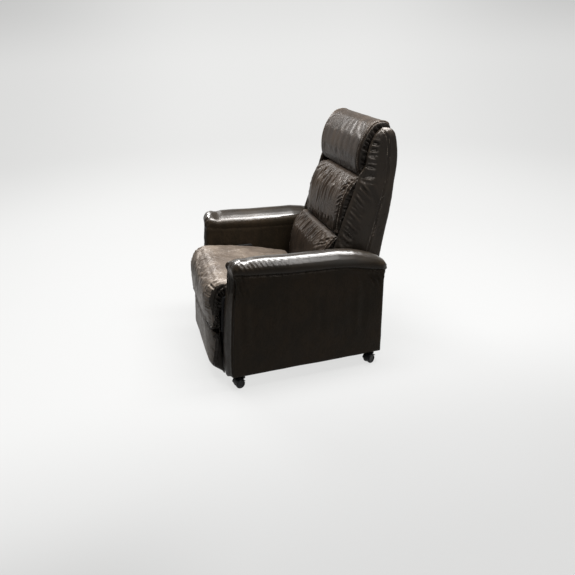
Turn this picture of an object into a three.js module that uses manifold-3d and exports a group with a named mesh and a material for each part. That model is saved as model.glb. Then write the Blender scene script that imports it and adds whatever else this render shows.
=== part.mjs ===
// Recliner armchair on castors, in millimetres.
// +Z is up, the chair faces -Y, the sitter's left is +X, and the floor is z = 0.
// Pushing the back down swings the footrest up: a push rod on each side joins the two.

import * as THREE from 'three';
import { mergeVertices } from 'three/addons/utils/BufferGeometryUtils.js';
import Module from 'manifold-3d';

const wasm = await Module();
wasm.setup();

// ---------------------------------------------------------------- driving dimensions

const HALF_SEAT = 262;          // middle of the chair to an arm's inner face
const ARM_WIDTH = 110;          // an arm's side panel, inner face to outer face
const ARM_HEIGHT = 614;         // floor to the highest line of an arm pad
const ARM_FOOT = -381;          // y of an arm's front edge, down at its foot
const ARM_RAKE = 47;            // how far the front edge leans back by the time it meets the pad
const ARM_REAR = 354;           // y of the arms' rear edge
const PAD_BULGE = 12;           // the arm pads swell this far past the outer faces
const PAD_OVERHANG = 13;        // and this far past the rear edges

const KNEE = { y: -350, z: 395 };   // axis the footrest swings on
const HIP = { y: 205, z: 345 };     // axis the back tilts on
const BACK_TILT = 32;               // full travel of the back, in degrees
const FOOTREST_SWING = 75;          // full travel of the footrest, in degrees

const NOSE_RADIUS = 81;         // seat cushion's rounded front, struck from the knee axis
const SEAT_PITCH = 10.6;        // the seat falls towards the back, in degrees
const SEAT_REAR = 80;           // y of the seat cushion's rear face

const FOOTREST_BOTTOM = 24;     // lower edge of the footrest, behind
const FOOTREST_TOE = 50;        // and in front, where the pad curves back
const FOOTREST_SEAM = 222;      // height of the seam between the footrest's two pads
const FOOTREST_DEPTH = 62;      // pad and board together
const BOARD_THICKNESS = 12;

const SHELL_SIDE_GAP = 6;       // back shell to an arm's inner face
const SHELL_TOP = 1072;
const SHELL_WALL = 28;          // width of each side bolster
const CUSHION_GAP = 3;          // back cushions to the bolsters
const BACK_TOP = 1097;          // top of the head cushion
const LUMBAR_TOP = 611;         // seam between lumbar and middle cushion
const HEAD_SEAM = 868;          // seam between middle and head cushion
const FRAME_DEPTH = 30;         // beech posts and crossbars of the back

const RAIL_WIDTH = 30;
const RAIL_HEIGHT = 50;
const PLATE = 4;                // steel plate of the links and brackets
const PLATE_GAP = 1;            // between plates that slide past each other
const SHOULDER = 3.9;           // on a bracket's stud, keeps the turning plate off the bracket
const CUSHION_CLEARANCE = 1.5;  // push rods to the seat cushion
const PIVOT_RADIUS = 5;
const HIP_PIVOT_RADIUS = 6;
const PIVOT_CLEARANCE = 0.4;
const OPEN_PIVOT_PLAY = 3.6;    // play at the pivots where a closed linkage meets again

const CRANK = 41;               // knee axis to the push rod's front pin
const HIP_LEVER = 90;           // hip axis to the push rod's rear pin
const SPRING_LEVER = 130;       // hip axis to the gas spring's pin
const SPRING_ANCHOR = { y: -105, z: 170 };

const CASTOR = { wheel: 22, width: 16, split: 9, trail: 20, inset: 26 };
const CASTOR_FRONT = -314;      // y of the front castors' stems
const CASTOR_REAR = 318;        // y of the rear castors' stems
const CASTOR_HEADROOM = 14;     // wheels to the underside of the side panels
const STEM = { radius: 5.2, length: 31, clearance: 0.4, sleeve: 2.2 };

const REST_GAP = 0.3;           // between pieces that rest on each other
const SOFT_GAP = 0.5;           // between a cushion and what carries it
const SEAM_GAP = 1;             // between two cushions sewn edge to edge

// ---------------------------------------------------------------- finishes

const LEATHER = { color: 0x2b241f, roughness: 0.42, metalness: 0 };
const BEECH = { color: 0xb98e5e, roughness: 0.6, metalness: 0 };
const STEEL = { color: 0x3a3c3e, roughness: 0.45, metalness: 0.8 };
const BRIGHT_STEEL = { color: 0xa9acae, roughness: 0.25, metalness: 1 };
const BLACK_PLASTIC = { color: 0x151515, roughness: 0.5, metalness: 0 };

// ---------------------------------------------------------------- helpers

const chair = new THREE.Group();
const radians = THREE.MathUtils.degToRad;
const SIDES = { left: 1, right: -1 };

function add(name, geometry, finish, parent = chair) {
  const mesh = new THREE.Mesh(geometry, new THREE.MeshStandardMaterial(finish));
  mesh.name = name;
  parent.add(mesh);
  return mesh;
}

// A side-view outline, drawn as (y, z), becomes a solid that runs along X.
const SIDE_VIEW = new THREE.Matrix4().makeBasis(
  new THREE.Vector3(0, 1, 0), new THREE.Vector3(0, 0, 1), new THREE.Vector3(1, 0, 0),
);

function across(outline, fromX, toX, { bevel = 0, bevelSegments = 2, curveSegments = 6 } = {}) {
  const geometry = new THREE.ExtrudeGeometry(outline, {
    depth: toX - fromX - 2 * bevel,
    bevelEnabled: bevel > 0,
    bevelThickness: bevel,
    bevelSize: bevel,
    bevelOffset: -bevel,
    bevelSegments,
    curveSegments,
  });
  geometry.translate(0, 0, fromX + bevel);
  return geometry.applyMatrix4(SIDE_VIEW);
}

// The same between two distances from the middle, on the left (1) or the right (-1).
function onSide(side, outline, inner, outer, options) {
  return side > 0
    ? across(outline, inner, outer, options)
    : across(outline, -outer, -inner, options);
}

function box([x0, x1], [y0, y1], [z0, z1]) {
  return new THREE.BoxGeometry(x1 - x0, y1 - y0, z1 - z0)
    .translate((x0 + x1) / 2, (y0 + y1) / 2, (z0 + z1) / 2);
}

function boxOnSide(side, [inner, outer], y, z) {
  return box(side > 0 ? [inner, outer] : [-outer, -inner], y, z);
}

// A round bar along X, between two distances from the middle.
function pin(side, at, radius, inner, outer, segments = 14) {
  return new THREE.CylinderGeometry(radius, radius, outer - inner, segments)
    .rotateZ(Math.PI / 2)
    .translate(side * (inner + outer) / 2, at.y, at.z);
}

function crossBar(at, radius, halfLength, segments = 14) {
  return new THREE.CylinderGeometry(radius, radius, 2 * halfLength, segments)
    .rotateZ(Math.PI / 2)
    .translate(0, at.y, at.z);
}

function shapeOf(points) {
  return new THREE.Shape(points.map(([y, z]) => new THREE.Vector2(y, z)));
}

// The plate outline that wraps round a few circles, each { y, z, r }.
function wrap(circles, steps = 14) {
  const points = circles.flatMap(({ y, z, r }) => Array.from({ length: steps }, (_, i) => {
    const angle = 2 * Math.PI * i / steps;
    return [y + r * Math.cos(angle), z + r * Math.sin(angle)];
  }));
  points.sort((a, b) => a[0] - b[0] || a[1] - b[1]);
  const turn = (o, a, b) => (a[0] - o[0]) * (b[1] - o[1]) - (a[1] - o[1]) * (b[0] - o[0]);
  const chain = (list) => {
    const kept = [];
    for (const point of list) {
      while (kept.length > 1 && turn(kept.at(-2), kept.at(-1), point) <= 1e-6) kept.pop();
      kept.push(point);
    }
    return kept.slice(0, -1);
  };
  return shapeOf([...chain(points), ...chain(points.toReversed())]);
}

// A point at a distance from a pivot; 0 degrees hangs straight down, positive leans to the rear.
function hung(pivot, distance, degrees) {
  const angle = radians(degrees);
  return { y: pivot.y + distance * Math.sin(angle), z: pivot.z - distance * Math.cos(angle) };
}

function solid(geometry) {
  const bare = geometry.clone();
  bare.deleteAttribute('normal');
  bare.deleteAttribute('uv');
  const merged = mergeVertices(bare, 1e-4);
  return new wasm.Manifold(new wasm.Mesh({
    numProp: 3,
    vertProperties: new Float32Array(merged.attributes.position.array),
    triVerts: new Uint32Array(merged.index.array),
  }));
}

function geometryOf(body) {
  const mesh = body.getMesh();
  const geometry = new THREE.BufferGeometry();
  geometry.setAttribute('position', new THREE.BufferAttribute(new Float32Array(mesh.vertProperties), 3));
  geometry.setIndex(new THREE.BufferAttribute(new Uint32Array(mesh.triVerts), 1));
  geometry.computeVertexNormals();
  return geometry;
}

function join(first, ...others) {
  return geometryOf(others.reduce((body, next) => body.add(solid(next)), solid(first)));
}

function cut(first, ...tools) {
  return geometryOf(tools.reduce((body, next) => body.subtract(solid(next)), solid(first)));
}

// Closed sections with the same number of corners, each anticlockwise as seen from the first,
// skinned in order and capped at both ends.
function loft(sections) {
  const corners = sections[0].length;
  const position = sections.flat().flatMap((point) => point.toArray());
  const faces = [];
  for (let ring = 0; ring + 1 < sections.length; ring += 1) {
    for (let i = 0; i < corners; i += 1) {
      const a = ring * corners + i;
      const b = ring * corners + (i + 1) % corners;
      faces.push(a, b + corners, b, a, a + corners, b + corners);
    }
  }
  const last = (sections.length - 1) * corners;
  for (let i = 1; i + 1 < corners; i += 1) {
    faces.push(0, i, i + 1, last, last + i + 1, last + i);
  }
  const geometry = new THREE.BufferGeometry();
  geometry.setAttribute('position', new THREE.BufferAttribute(new Float32Array(position), 3));
  geometry.setIndex(faces);
  geometry.computeVertexNormals();
  return geometry;
}

// Height on a polyline of [y, z] corners, straight between them and past both ends.
function heightOn(line, y) {
  let i = 0;
  while (i < line.length - 2 && y > line[i + 1][0]) i += 1;
  const [y0, z0] = line[i];
  const [y1, z1] = line[i + 1];
  return z0 + (z1 - z0) * (y - y0) / (y1 - y0);
}

// ---------------------------------------------------------------- places that pieces share

const PANEL_BOTTOM = 2 * CASTOR.wheel + CASTOR_HEADROOM;

// The linkage fills three planes beside the cushion: brackets, turning plates, push rods.
const LINKAGE = HALF_SEAT - REST_GAP;
const BRACKET_PLANE = [LINKAGE - PLATE, LINKAGE];
const SHOULDER_END = BRACKET_PLANE[0] - SHOULDER;
const SWING_PLANE = [SHOULDER_END - REST_GAP - PLATE, SHOULDER_END - REST_GAP];
const ROD_PLANE = [SWING_PLANE[0] - PLATE_GAP - PLATE, SWING_PLANE[0] - PLATE_GAP];
const STUD_END = SWING_PLANE[0] - 0.1;
const ROD_STUD_END = ROD_PLANE[0] - 0.3;

const HALF_CUSHION = ROD_PLANE[0] - CUSHION_CLEARANCE;
const HALF_SHELL = HALF_SEAT - SHELL_SIDE_GAP;
const HALF_RECESS = HALF_SHELL - SHELL_WALL;
const HALF_BACK_CUSHION = HALF_RECESS - CUSHION_GAP;

// Each crank starts half its travel behind the vertical and ends as far in front of it.
const CRANK_PIN = hung(KNEE, CRANK, FOOTREST_SWING / 2);
const HIP_PIN = hung(HIP, HIP_LEVER, BACK_TILT / 2);
const SPRING_PIN = hung(HIP, SPRING_LEVER, BACK_TILT / 2);

// Height of the push rod's centre line, and of the seat rails that lie under its sweep.
const ROD_SLOPE = (HIP_PIN.z - CRANK_PIN.z) / (HIP_PIN.y - CRANK_PIN.y);
const ROD_HALF_HEIGHT = 10;
const RAIL_DROP = 14;
const rodHeight = (y) => CRANK_PIN.z + (y - CRANK_PIN.y) * ROD_SLOPE;
const railTop = (y) => rodHeight(y) - ROD_HALF_HEIGHT - RAIL_DROP;
const RAIL_FRONT = KNEE.y + 50;
const RAIL_REAR = HIP.y - 15;

// The line on which an arm pad sits, from the front of the arm to its rear: share of the arm's
// length, drop below ARM_HEIGHT.
const ARM_TOP_FRONT = ARM_FOOT + ARM_RAKE;
const PAD_SEAT = [
  [0, 62], [0.36, 84], [0.68, 94], [0.78, 103], [0.9, 123], [1, 132],
].map(([share, drop]) => [ARM_TOP_FRONT + share * (ARM_REAR - ARM_TOP_FRONT), ARM_HEIGHT - drop]);

// Floor of the back shell's recess, leaning back; the frame and then the cushions lie on it.
const RECESS_LEAN = Math.tan(radians(6.25));
const recessFloor = (z) => HIP.y + 105 + (z - HIP.z) * RECESS_LEAN;
const frameFront = (z) => recessFloor(z) - REST_GAP - FRAME_DEPTH;
const cushionRear = (z) => frameFront(z) - SOFT_GAP;

// ---------------------------------------------------------------- arms

const castorPlaces = [];
for (const [end, y] of [['front', CASTOR_FRONT], ['rear', CASTOR_REAR]]) {
  for (const [hand, side] of Object.entries(SIDES)) {
    castorPlaces.push({ name: `${end}_${hand}`, side, y, x: side * (HALF_SEAT + ARM_WIDTH - CASTOR.inset) });
  }
}

function sidePanelOutline() {
  const foot = 14;
  const outline = new THREE.Shape();
  outline.moveTo(ARM_REAR, PANEL_BOTTOM);
  for (const [y, z] of PAD_SEAT.toReversed()) {
    outline.lineTo(y, z);
  }
  const frontTop = PAD_SEAT[0][1];
  const rise = frontTop - PANEL_BOTTOM;
  outline.splineThru([
    new THREE.Vector2(ARM_TOP_FRONT - 4, frontTop - 0.12 * rise),
    new THREE.Vector2(ARM_TOP_FRONT - 20, frontTop - 0.3 * rise),
    new THREE.Vector2(ARM_FOOT + 16, frontTop - 0.48 * rise),
    new THREE.Vector2(ARM_FOOT + 2, PANEL_BOTTOM + 0.2 * rise),
    new THREE.Vector2(ARM_FOOT, PANEL_BOTTOM + foot),
  ]);
  outline.quadraticCurveTo(ARM_FOOT, PANEL_BOTTOM, ARM_FOOT + foot, PANEL_BOTTOM);
  return outline;
}

const SLEEVE_RADIUS = STEM.radius + STEM.clearance + STEM.sleeve;
const SLEEVE_TOP = PANEL_BOTTOM + 33;
const BORE_HEADROOM = 2;        // a bore ends this far above its sleeve
const BORE_LENGTH = 80;

function sidePanel(side) {
  const panel = onSide(
    side, sidePanelOutline(), HALF_SEAT, HALF_SEAT + ARM_WIDTH, { bevel: 9, curveSegments: 2 },
  );
  const bores = castorPlaces.filter((place) => place.side === side).map((place) => (
    new THREE.CylinderGeometry(SLEEVE_RADIUS + REST_GAP, SLEEVE_RADIUS + REST_GAP, BORE_LENGTH, 12)
      .rotateX(Math.PI / 2)
      .translate(place.x, place.y, SLEEVE_TOP + BORE_HEADROOM - BORE_LENGTH / 2)
  ));
  return cut(panel, ...bores);
}

// An arm pad's cross-section, in shares of its width and height from the lower inner corner: upright
// inside, highest two thirds of the way out, fullest over the panel's outer face.
const PAD_SECTION = [
  [0, 0], [0, 0.28], [0.03, 0.45], [0.12, 0.61], [0.28, 0.78], [0.46, 0.92], [0.6, 0.99], [0.7, 1],
  [0.81, 0.94], [0.91, 0.8], [0.98, 0.58], [1, 0.38], [0.98, 0.18], [0.93, 0.05], [0.87, 0], [0.4, 0],
];
const PAD_WIDTH = ARM_WIDTH + PAD_BULGE;

function padSection(side, y, top, bottom, share) {
  const inner = HALF_SEAT + 0.3 * (1 - share) * PAD_WIDTH;
  const points = PAD_SECTION.map(([across, up]) => new THREE.Vector3(
    side * (inner + across * share * PAD_WIDTH), y, bottom + up * (top - bottom),
  ));
  return side > 0 ? points.toReversed() : points;
}

function armPad(side) {
  const length = ARM_REAR - ARM_TOP_FRONT;
  // share of the arm's length, drop of the top below ARM_HEIGHT, share of the full width
  const stations = [
    [0, 46, 0.84], [0.025, 26, 0.93], [0.065, 9, 0.98], [0.14, 1, 1], [0.23, 3, 1], [0.36, 9, 1],
    [0.52, 13, 1], [0.68, 16, 1], [0.78, 26, 1], [0.84, 37, 1], [0.9, 52, 0.99], [0.95, 68, 0.98],
    [1, 93, 0.95],
  ];
  const sections = stations.map(([share, drop, width]) => {
    const y = ARM_TOP_FRONT + share * length;
    return padSection(side, y, ARM_HEIGHT - drop, heightOn(PAD_SEAT, y) + REST_GAP, width);
  });
  // share of the overhang, drop of the top, drop of the underside, share of the full width
  for (const [share, drop, underside, width] of [[0.6, 105, 131, 0.9], [1, 114, 127, 0.8]]) {
    sections.push(padSection(
      side, ARM_REAR + share * PAD_OVERHANG, ARM_HEIGHT - drop, ARM_HEIGHT - underside, width,
    ));
  }
  return loft(sections);
}

for (const [hand, side] of Object.entries(SIDES)) {
  add(`side_panel_${hand}`, sidePanel(side), LEATHER);
  add(`arm_pad_${hand}`, armPad(side), LEATHER);
}

// ---------------------------------------------------------------- seat frame between the arms

function slopingRail(side) {
  const outline = shapeOf([
    [RAIL_FRONT, railTop(RAIL_FRONT) - RAIL_HEIGHT], [RAIL_REAR, railTop(RAIL_REAR) - RAIL_HEIGHT],
    [RAIL_REAR, railTop(RAIL_REAR)], [RAIL_FRONT, railTop(RAIL_FRONT)],
  ]);
  return onSide(side, outline, LINKAGE - RAIL_WIDTH, LINKAGE);
}

for (const [hand, side] of Object.entries(SIDES)) {
  add(`seat_rail_${hand}`, slopingRail(side), BEECH);
}

const BETWEEN_RAILS = LINKAGE - RAIL_WIDTH - REST_GAP;
const CROSSRAIL_DEPTH = 28;
const CROSSRAILS = {
  seat_crossrail_front: { y: RAIL_FRONT, height: 66 },
  seat_crossrail_rear: { y: RAIL_REAR - 90, height: 26 },
};
for (const [name, { y, height }] of Object.entries(CROSSRAILS)) {
  const rear = y + CROSSRAIL_DEPTH;
  const bottom = railTop(rear) - height;
  const outline = shapeOf([[y, bottom], [rear, bottom], [rear, railTop(rear)], [y, railTop(y)]]);
  add(name, across(outline, -BETWEEN_RAILS, BETWEEN_RAILS), BEECH);
}

// The middle crossrail lies lower, clear of the springs, and carries the gas spring's anchor.
const MIDDLE_RAIL = { front: SPRING_ANCHOR.y - 55, rear: SPRING_ANCHOR.y - 25 };
const MIDDLE_RAIL_TOP = railTop(MIDDLE_RAIL.rear) - 12;
add('seat_crossrail_middle', box(
  [-BETWEEN_RAILS, BETWEEN_RAILS],
  [MIDDLE_RAIL.front, MIDDLE_RAIL.rear],
  [MIDDLE_RAIL_TOP - 38, MIDDLE_RAIL_TOP],
), BEECH);

const BASE_RAIL = { depth: 25, height: 55, lift: 17 };
for (const [name, y] of [['base_rail_front', ARM_FOOT + 52], ['base_rail_rear', ARM_REAR - 54]]) {
  add(name, box(
    [-LINKAGE, LINKAGE],
    [y, y + BASE_RAIL.depth],
    [PANEL_BOTTOM + BASE_RAIL.lift, PANEL_BOTTOM + BASE_RAIL.lift + BASE_RAIL.height],
  ), BEECH);
}

const REAR_COVER = { thickness: 14, inset: 7, top: 243, lift: 4 };
add('rear_cover', across(
  shapeOf([
    [ARM_REAR - REAR_COVER.inset - REAR_COVER.thickness, PANEL_BOTTOM + REAR_COVER.lift],
    [ARM_REAR - REAR_COVER.inset, PANEL_BOTTOM + REAR_COVER.lift],
    [ARM_REAR - REAR_COVER.inset, REAR_COVER.top],
    [ARM_REAR - REAR_COVER.inset - REAR_COVER.thickness, REAR_COVER.top],
  ]),
  -LINKAGE,
  LINKAGE,
  { bevel: 3 },
), LEATHER);

// Zigzag wire springs run from the front crossrail to the rear one, arched up a little.
const WIRE = { radius: 2, count: 4, turns: 5, amplitude: 20, arch: 8, steps: 30 };
function zigzagSpring(x) {
  const from = RAIL_FRONT + CROSSRAIL_DEPTH / 2;
  const to = CROSSRAILS.seat_crossrail_rear.y + CROSSRAIL_DEPTH / 2;
  const lift = WIRE.radius + 2 * REST_GAP;
  const points = Array.from({ length: WIRE.steps + 1 }, (_, i) => {
    const t = i / WIRE.steps;
    const y = from + (to - from) * t;
    return new THREE.Vector3(
      x + WIRE.amplitude * Math.sin(2 * Math.PI * WIRE.turns * t),
      y,
      railTop(y) + lift + WIRE.arch * Math.sin(Math.PI * t),
    );
  });
  const section = new THREE.Shape().absarc(0, 0, WIRE.radius, 0, 2 * Math.PI);
  return new THREE.ExtrudeGeometry(section, {
    steps: WIRE.steps,
    extrudePath: new THREE.CatmullRomCurve3(points),
    curveSegments: 3,
    bevelEnabled: false,
  });
}

for (let i = 0; i < WIRE.count; i += 1) {
  const spacing = 2 * HALF_CUSHION / (WIRE.count + 0.8);
  add(`seat_spring_${i + 1}`, zigzagSpring((i - (WIRE.count - 1) / 2) * spacing), BRIGHT_STEEL);
}

// The seat cushion: its front is round about the knee axis, so the footrest turns past it.
function seatCushionOutline() {
  const fall = Math.tan(radians(SEAT_PITCH));
  const top = (y) => KNEE.z + NOSE_RADIUS + 2 - (y - KNEE.y) * fall;
  const underFront = RAIL_FRONT - 3;
  const arch = WIRE.arch + 2 * WIRE.radius + 3;
  const under = (y) => railTop(y) + arch;
  const roundEnd = radians(300);
  const outline = new THREE.Shape();
  outline.absarc(KNEE.y, KNEE.z, NOSE_RADIUS, radians(84), roundEnd, false);
  outline.lineTo(underFront, under(underFront));
  outline.lineTo(SEAT_REAR, under(SEAT_REAR));
  outline.lineTo(SEAT_REAR, top(SEAT_REAR) - 16);
  outline.quadraticCurveTo(SEAT_REAR, top(SEAT_REAR), SEAT_REAR - 22, top(SEAT_REAR) + 6);
  outline.lineTo((KNEE.y + SEAT_REAR) / 2, top((KNEE.y + SEAT_REAR) / 2) + 8);
  return outline;
}
add('seat_cushion', across(
  seatCushionOutline(), -HALF_CUSHION, HALF_CUSHION, { bevel: 6, curveSegments: 12 },
), LEATHER);

// ---------------------------------------------------------------- hinge brackets on the arms

// Radii of the plates round their pivots, and of the shoulders on the brackets' studs.
const HUB = { knee: 16, hip: 18, pin: 11, shoulder: 9.5 };

function kneeBracket(side) {
  const plate = wrap([
    { ...KNEE, r: HUB.knee },
    { y: RAIL_FRONT + 10, z: KNEE.z + 4, r: 8 },
    { y: RAIL_FRONT + 55, z: KNEE.z - 4, r: 8 },
    { y: RAIL_FRONT + 55, z: KNEE.z - 40, r: 8 },
  ]);
  return join(
    onSide(side, plate, ...BRACKET_PLANE),
    pin(side, KNEE, HUB.shoulder, SHOULDER_END, BRACKET_PLANE[0] + 1),
    pin(side, KNEE, PIVOT_RADIUS, STUD_END, BRACKET_PLANE[0] + 1),
  );
}

function hipBracket(side) {
  const plate = wrap([
    { ...HIP, r: HUB.hip },
    { y: HIP.y - 70, z: HIP.z + 10, r: 8 },
    { y: HIP.y - 70, z: HIP.z - 45, r: 8 },
    { y: HIP.y - 15, z: HIP.z - 45, r: 8 },
  ]);
  return join(
    onSide(side, plate, ...BRACKET_PLANE),
    pin(side, HIP, HUB.shoulder, SHOULDER_END, BRACKET_PLANE[0] + 1),
    pin(side, HIP, HIP_PIVOT_RADIUS, STUD_END, BRACKET_PLANE[0] + 1),
  );
}

for (const [hand, side] of Object.entries(SIDES)) {
  add(`knee_bracket_${hand}`, kneeBracket(side), STEEL);
  add(`hip_bracket_${hand}`, hipBracket(side), STEEL);
}

// ---------------------------------------------------------------- footrest

const FOOTREST_FRONT = KNEE.y - NOSE_RADIUS - 3;
const BOARD_REAR = FOOTREST_FRONT + FOOTREST_DEPTH + 9;
const BOARD_FRONT = BOARD_REAR - BOARD_THICKNESS;
const PAD_REAR = BOARD_FRONT - REST_GAP;

function legCushionOutline() {
  const sweep = NOSE_RADIUS + SOFT_GAP;
  const tip = Math.acos((FOOTREST_FRONT + 3.2 - KNEE.y) / sweep);
  const heel = Math.acos((PAD_REAR - KNEE.y) / sweep);
  const bottom = FOOTREST_SEAM + SEAM_GAP / 2;
  const outline = new THREE.Shape();
  outline.moveTo(PAD_REAR, bottom);
  outline.lineTo(PAD_REAR, KNEE.z - sweep * Math.sin(heel));
  outline.absarc(KNEE.y, KNEE.z, sweep, -heel, -tip, true);
  outline.lineTo(FOOTREST_FRONT, KNEE.z - sweep * Math.sin(tip));
  outline.lineTo(FOOTREST_FRONT - 2, FOOTREST_SEAM + 14);
  outline.quadraticCurveTo(FOOTREST_FRONT - 2, bottom, FOOTREST_FRONT + 12, bottom);
  return outline;
}

function footrestPanelOutline() {
  const top = FOOTREST_SEAM - SEAM_GAP / 2;
  const front = FOOTREST_FRONT - 7;
  const outline = new THREE.Shape();
  outline.moveTo(PAD_REAR, FOOTREST_BOTTOM);
  outline.lineTo(PAD_REAR, top);
  outline.lineTo(front + 18, top);
  outline.quadraticCurveTo(front + 4, top, front + 4, top - 16);
  outline.lineTo(front, FOOTREST_TOE + 24);
  outline.quadraticCurveTo(front, FOOTREST_TOE, front + 22, FOOTREST_TOE - 10);
  outline.lineTo(PAD_REAR - 24, FOOTREST_BOTTOM);
  return outline;
}

const HALF_FOOTREST = HALF_CUSHION + 1;
add('leg_cushion', across(
  legCushionOutline(), -HALF_FOOTREST, HALF_FOOTREST, { curveSegments: 16 },
), LEATHER);
add('footrest_panel', across(
  footrestPanelOutline(), -HALF_FOOTREST, HALF_FOOTREST, { bevel: 10, bevelSegments: 3 },
), LEATHER);

const BOARD_TOP = KNEE.z - NOSE_RADIUS - 2;
const HALF_BOARD = HALF_FOOTREST - 4;
add('footrest_board', box(
  [-HALF_BOARD, HALF_BOARD], [BOARD_FRONT, BOARD_REAR], [FOOTREST_TOE + 10, BOARD_TOP],
), BEECH);

// Each footrest arm turns on the knee bracket, carries the board and holds the push rod's pin.
function footrestArm(side) {
  const plateRear = BOARD_REAR + REST_GAP + PLATE;
  const hanger = wrap([
    { ...KNEE, r: HUB.knee },
    { y: plateRear - 10, z: KNEE.z - 150, r: 10 },
    { y: KNEE.y - 14, z: KNEE.z - 150, r: 10 },
  ]);
  const crank = wrap([{ ...KNEE, r: HUB.knee - 2 }, { ...CRANK_PIN, r: HUB.pin }]);
  const flange = boxOnSide(
    side,
    [SWING_PLANE[0] - 38, SWING_PLANE[1]],
    [BOARD_REAR + REST_GAP, plateRear],
    [KNEE.z - 158, KNEE.z - 92],
  );
  const stud = pin(side, CRANK_PIN, PIVOT_RADIUS, ROD_STUD_END, SWING_PLANE[0] + 1);
  const eye = pin(side, KNEE, PIVOT_RADIUS + PIVOT_CLEARANCE, SWING_PLANE[0] - 5, SWING_PLANE[1] + 5);
  return cut(
    join(
      onSide(side, hanger, ...SWING_PLANE), onSide(side, crank, ...SWING_PLANE), flange, stud,
    ),
    eye,
  );
}

for (const [hand, side] of Object.entries(SIDES)) {
  add(`footrest_arm_${hand}`, footrestArm(side), STEEL);
}

// ---------------------------------------------------------------- back

const SHELL_BOTTOM = HIP.z + 27;
const SKIRT_RADIUS = 150;
const SKIRT_THICKNESS = 20;

// Side view of the shell. Its lower end is a skirt that is round about the hip axis.
function shellOutline() {
  const rise = SHELL_TOP - SHELL_BOTTOM;
  const at = (share, depth) => new THREE.Vector2(HIP.y + depth, SHELL_BOTTOM + share * rise);
  const outline = new THREE.Shape();
  outline.moveTo(HIP.y - 64, SHELL_BOTTOM);
  outline.lineTo(HIP.y + SKIRT_RADIUS - SKIRT_THICKNESS - 22, SHELL_BOTTOM);
  outline.absarc(HIP.y, HIP.z, SKIRT_RADIUS - SKIRT_THICKNESS, radians(8), radians(-34), true);
  outline.absarc(HIP.y, HIP.z, SKIRT_RADIUS, radians(-34), radians(4), false);
  outline.splineThru([
    at(0.1, 169), at(0.29, 192), at(0.55, 223), at(0.77, 235), at(0.87, 233), at(0.955, 222),
    at(0.99, 204), at(1, 182),
  ]);
  outline.lineTo(HIP.y + 158, SHELL_TOP);
  outline.splineThru([
    at(0.985, 134), at(0.94, 108), at(0.84, 83), at(0.755, 76), at(0.62, 47), at(0.45, 2),
    at(0.27, -41), at(0.12, -60),
  ]);
  return outline;
}

// The front recess is as wide as the cushions; at the top it lowers the rear wall for the head roll.
function backShell() {
  const shell = across(shellOutline(), -HALF_SHELL, HALF_SHELL, { bevel: 7, curveSegments: 2 });
  const ledge = SHELL_TOP - 14;
  const recess = across(shapeOf([
    [recessFloor(HIP.z - 100), HIP.z - 100],
    [recessFloor(ledge - 20), ledge - 20],
    [recessFloor(ledge - 20), ledge],
    [HIP.y + 400, ledge],
    [HIP.y + 400, SHELL_TOP + 100],
    [HIP.y - 200, SHELL_TOP + 100],
    [HIP.y - 200, HIP.z - 100],
  ]), -HALF_RECESS, HALF_RECESS);
  const skirtKeeper = across(shapeOf([
    [HIP.y - 300, HIP.z - 200], [HIP.y + 300, HIP.z - 200],
    [HIP.y + 300, SHELL_BOTTOM], [HIP.y - 300, SHELL_BOTTOM],
  ]), -HALF_SEAT, HALF_SEAT);
  return geometryOf(solid(shell).subtract(solid(recess).subtract(solid(skirtKeeper))));
}
add('back_shell', backShell(), LEATHER);

const POST = { inner: 182, outer: 222, foot: HIP.z + 28, head: SHELL_TOP - 60 };
function leaningBar(bottom, top, fromX, toX) {
  const outline = shapeOf([
    [frameFront(bottom), bottom], [frameFront(bottom) + FRAME_DEPTH, bottom],
    [frameFront(top) + FRAME_DEPTH, top], [frameFront(top), top],
  ]);
  return across(outline, fromX, toX);
}

for (const [hand, side] of Object.entries(SIDES)) {
  const [from, to] = side > 0 ? [POST.inner, POST.outer] : [-POST.outer, -POST.inner];
  add(`back_post_${hand}`, leaningBar(POST.foot, POST.head, from, to), BEECH);
}
const CROSSBAR_HEIGHT = 40;
const CROSSBARS = {
  back_crossbar_lower: POST.foot,
  back_crossbar_middle: LUMBAR_TOP - CROSSBAR_HEIGHT / 2,
  back_crossbar_upper: POST.head - CROSSBAR_HEIGHT,
};
for (const [name, bottom] of Object.entries(CROSSBARS)) {
  const reach = POST.inner - REST_GAP;
  add(name, leaningBar(bottom, bottom + CROSSBAR_HEIGHT, -reach, reach), BEECH);
}

function spline(outline, points) {
  outline.splineThru(points.map(([y, z]) => new THREE.Vector2(y, z)));
}

function headCushionOutline() {
  const bottom = HEAD_SEAM + SEAM_GAP / 2;
  const rise = BACK_TOP - bottom;
  const ledge = SHELL_TOP - 14 + SOFT_GAP;
  const outline = new THREE.Shape();
  outline.moveTo(cushionRear(bottom), bottom);
  outline.lineTo(cushionRear(ledge), ledge);
  outline.lineTo(HIP.y + 212, ledge);
  spline(outline, [
    [HIP.y + 216, ledge + 10], [HIP.y + 196, BACK_TOP - 6], [HIP.y + 166, BACK_TOP],
    [HIP.y + 131, BACK_TOP - 13], [HIP.y + 101, BACK_TOP - 47], [HIP.y + 80, bottom + 0.63 * rise],
    [HIP.y + 67, bottom + 0.42 * rise], [HIP.y + 66, bottom + 0.2 * rise], [HIP.y + 84, bottom],
  ]);
  return outline;
}

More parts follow.
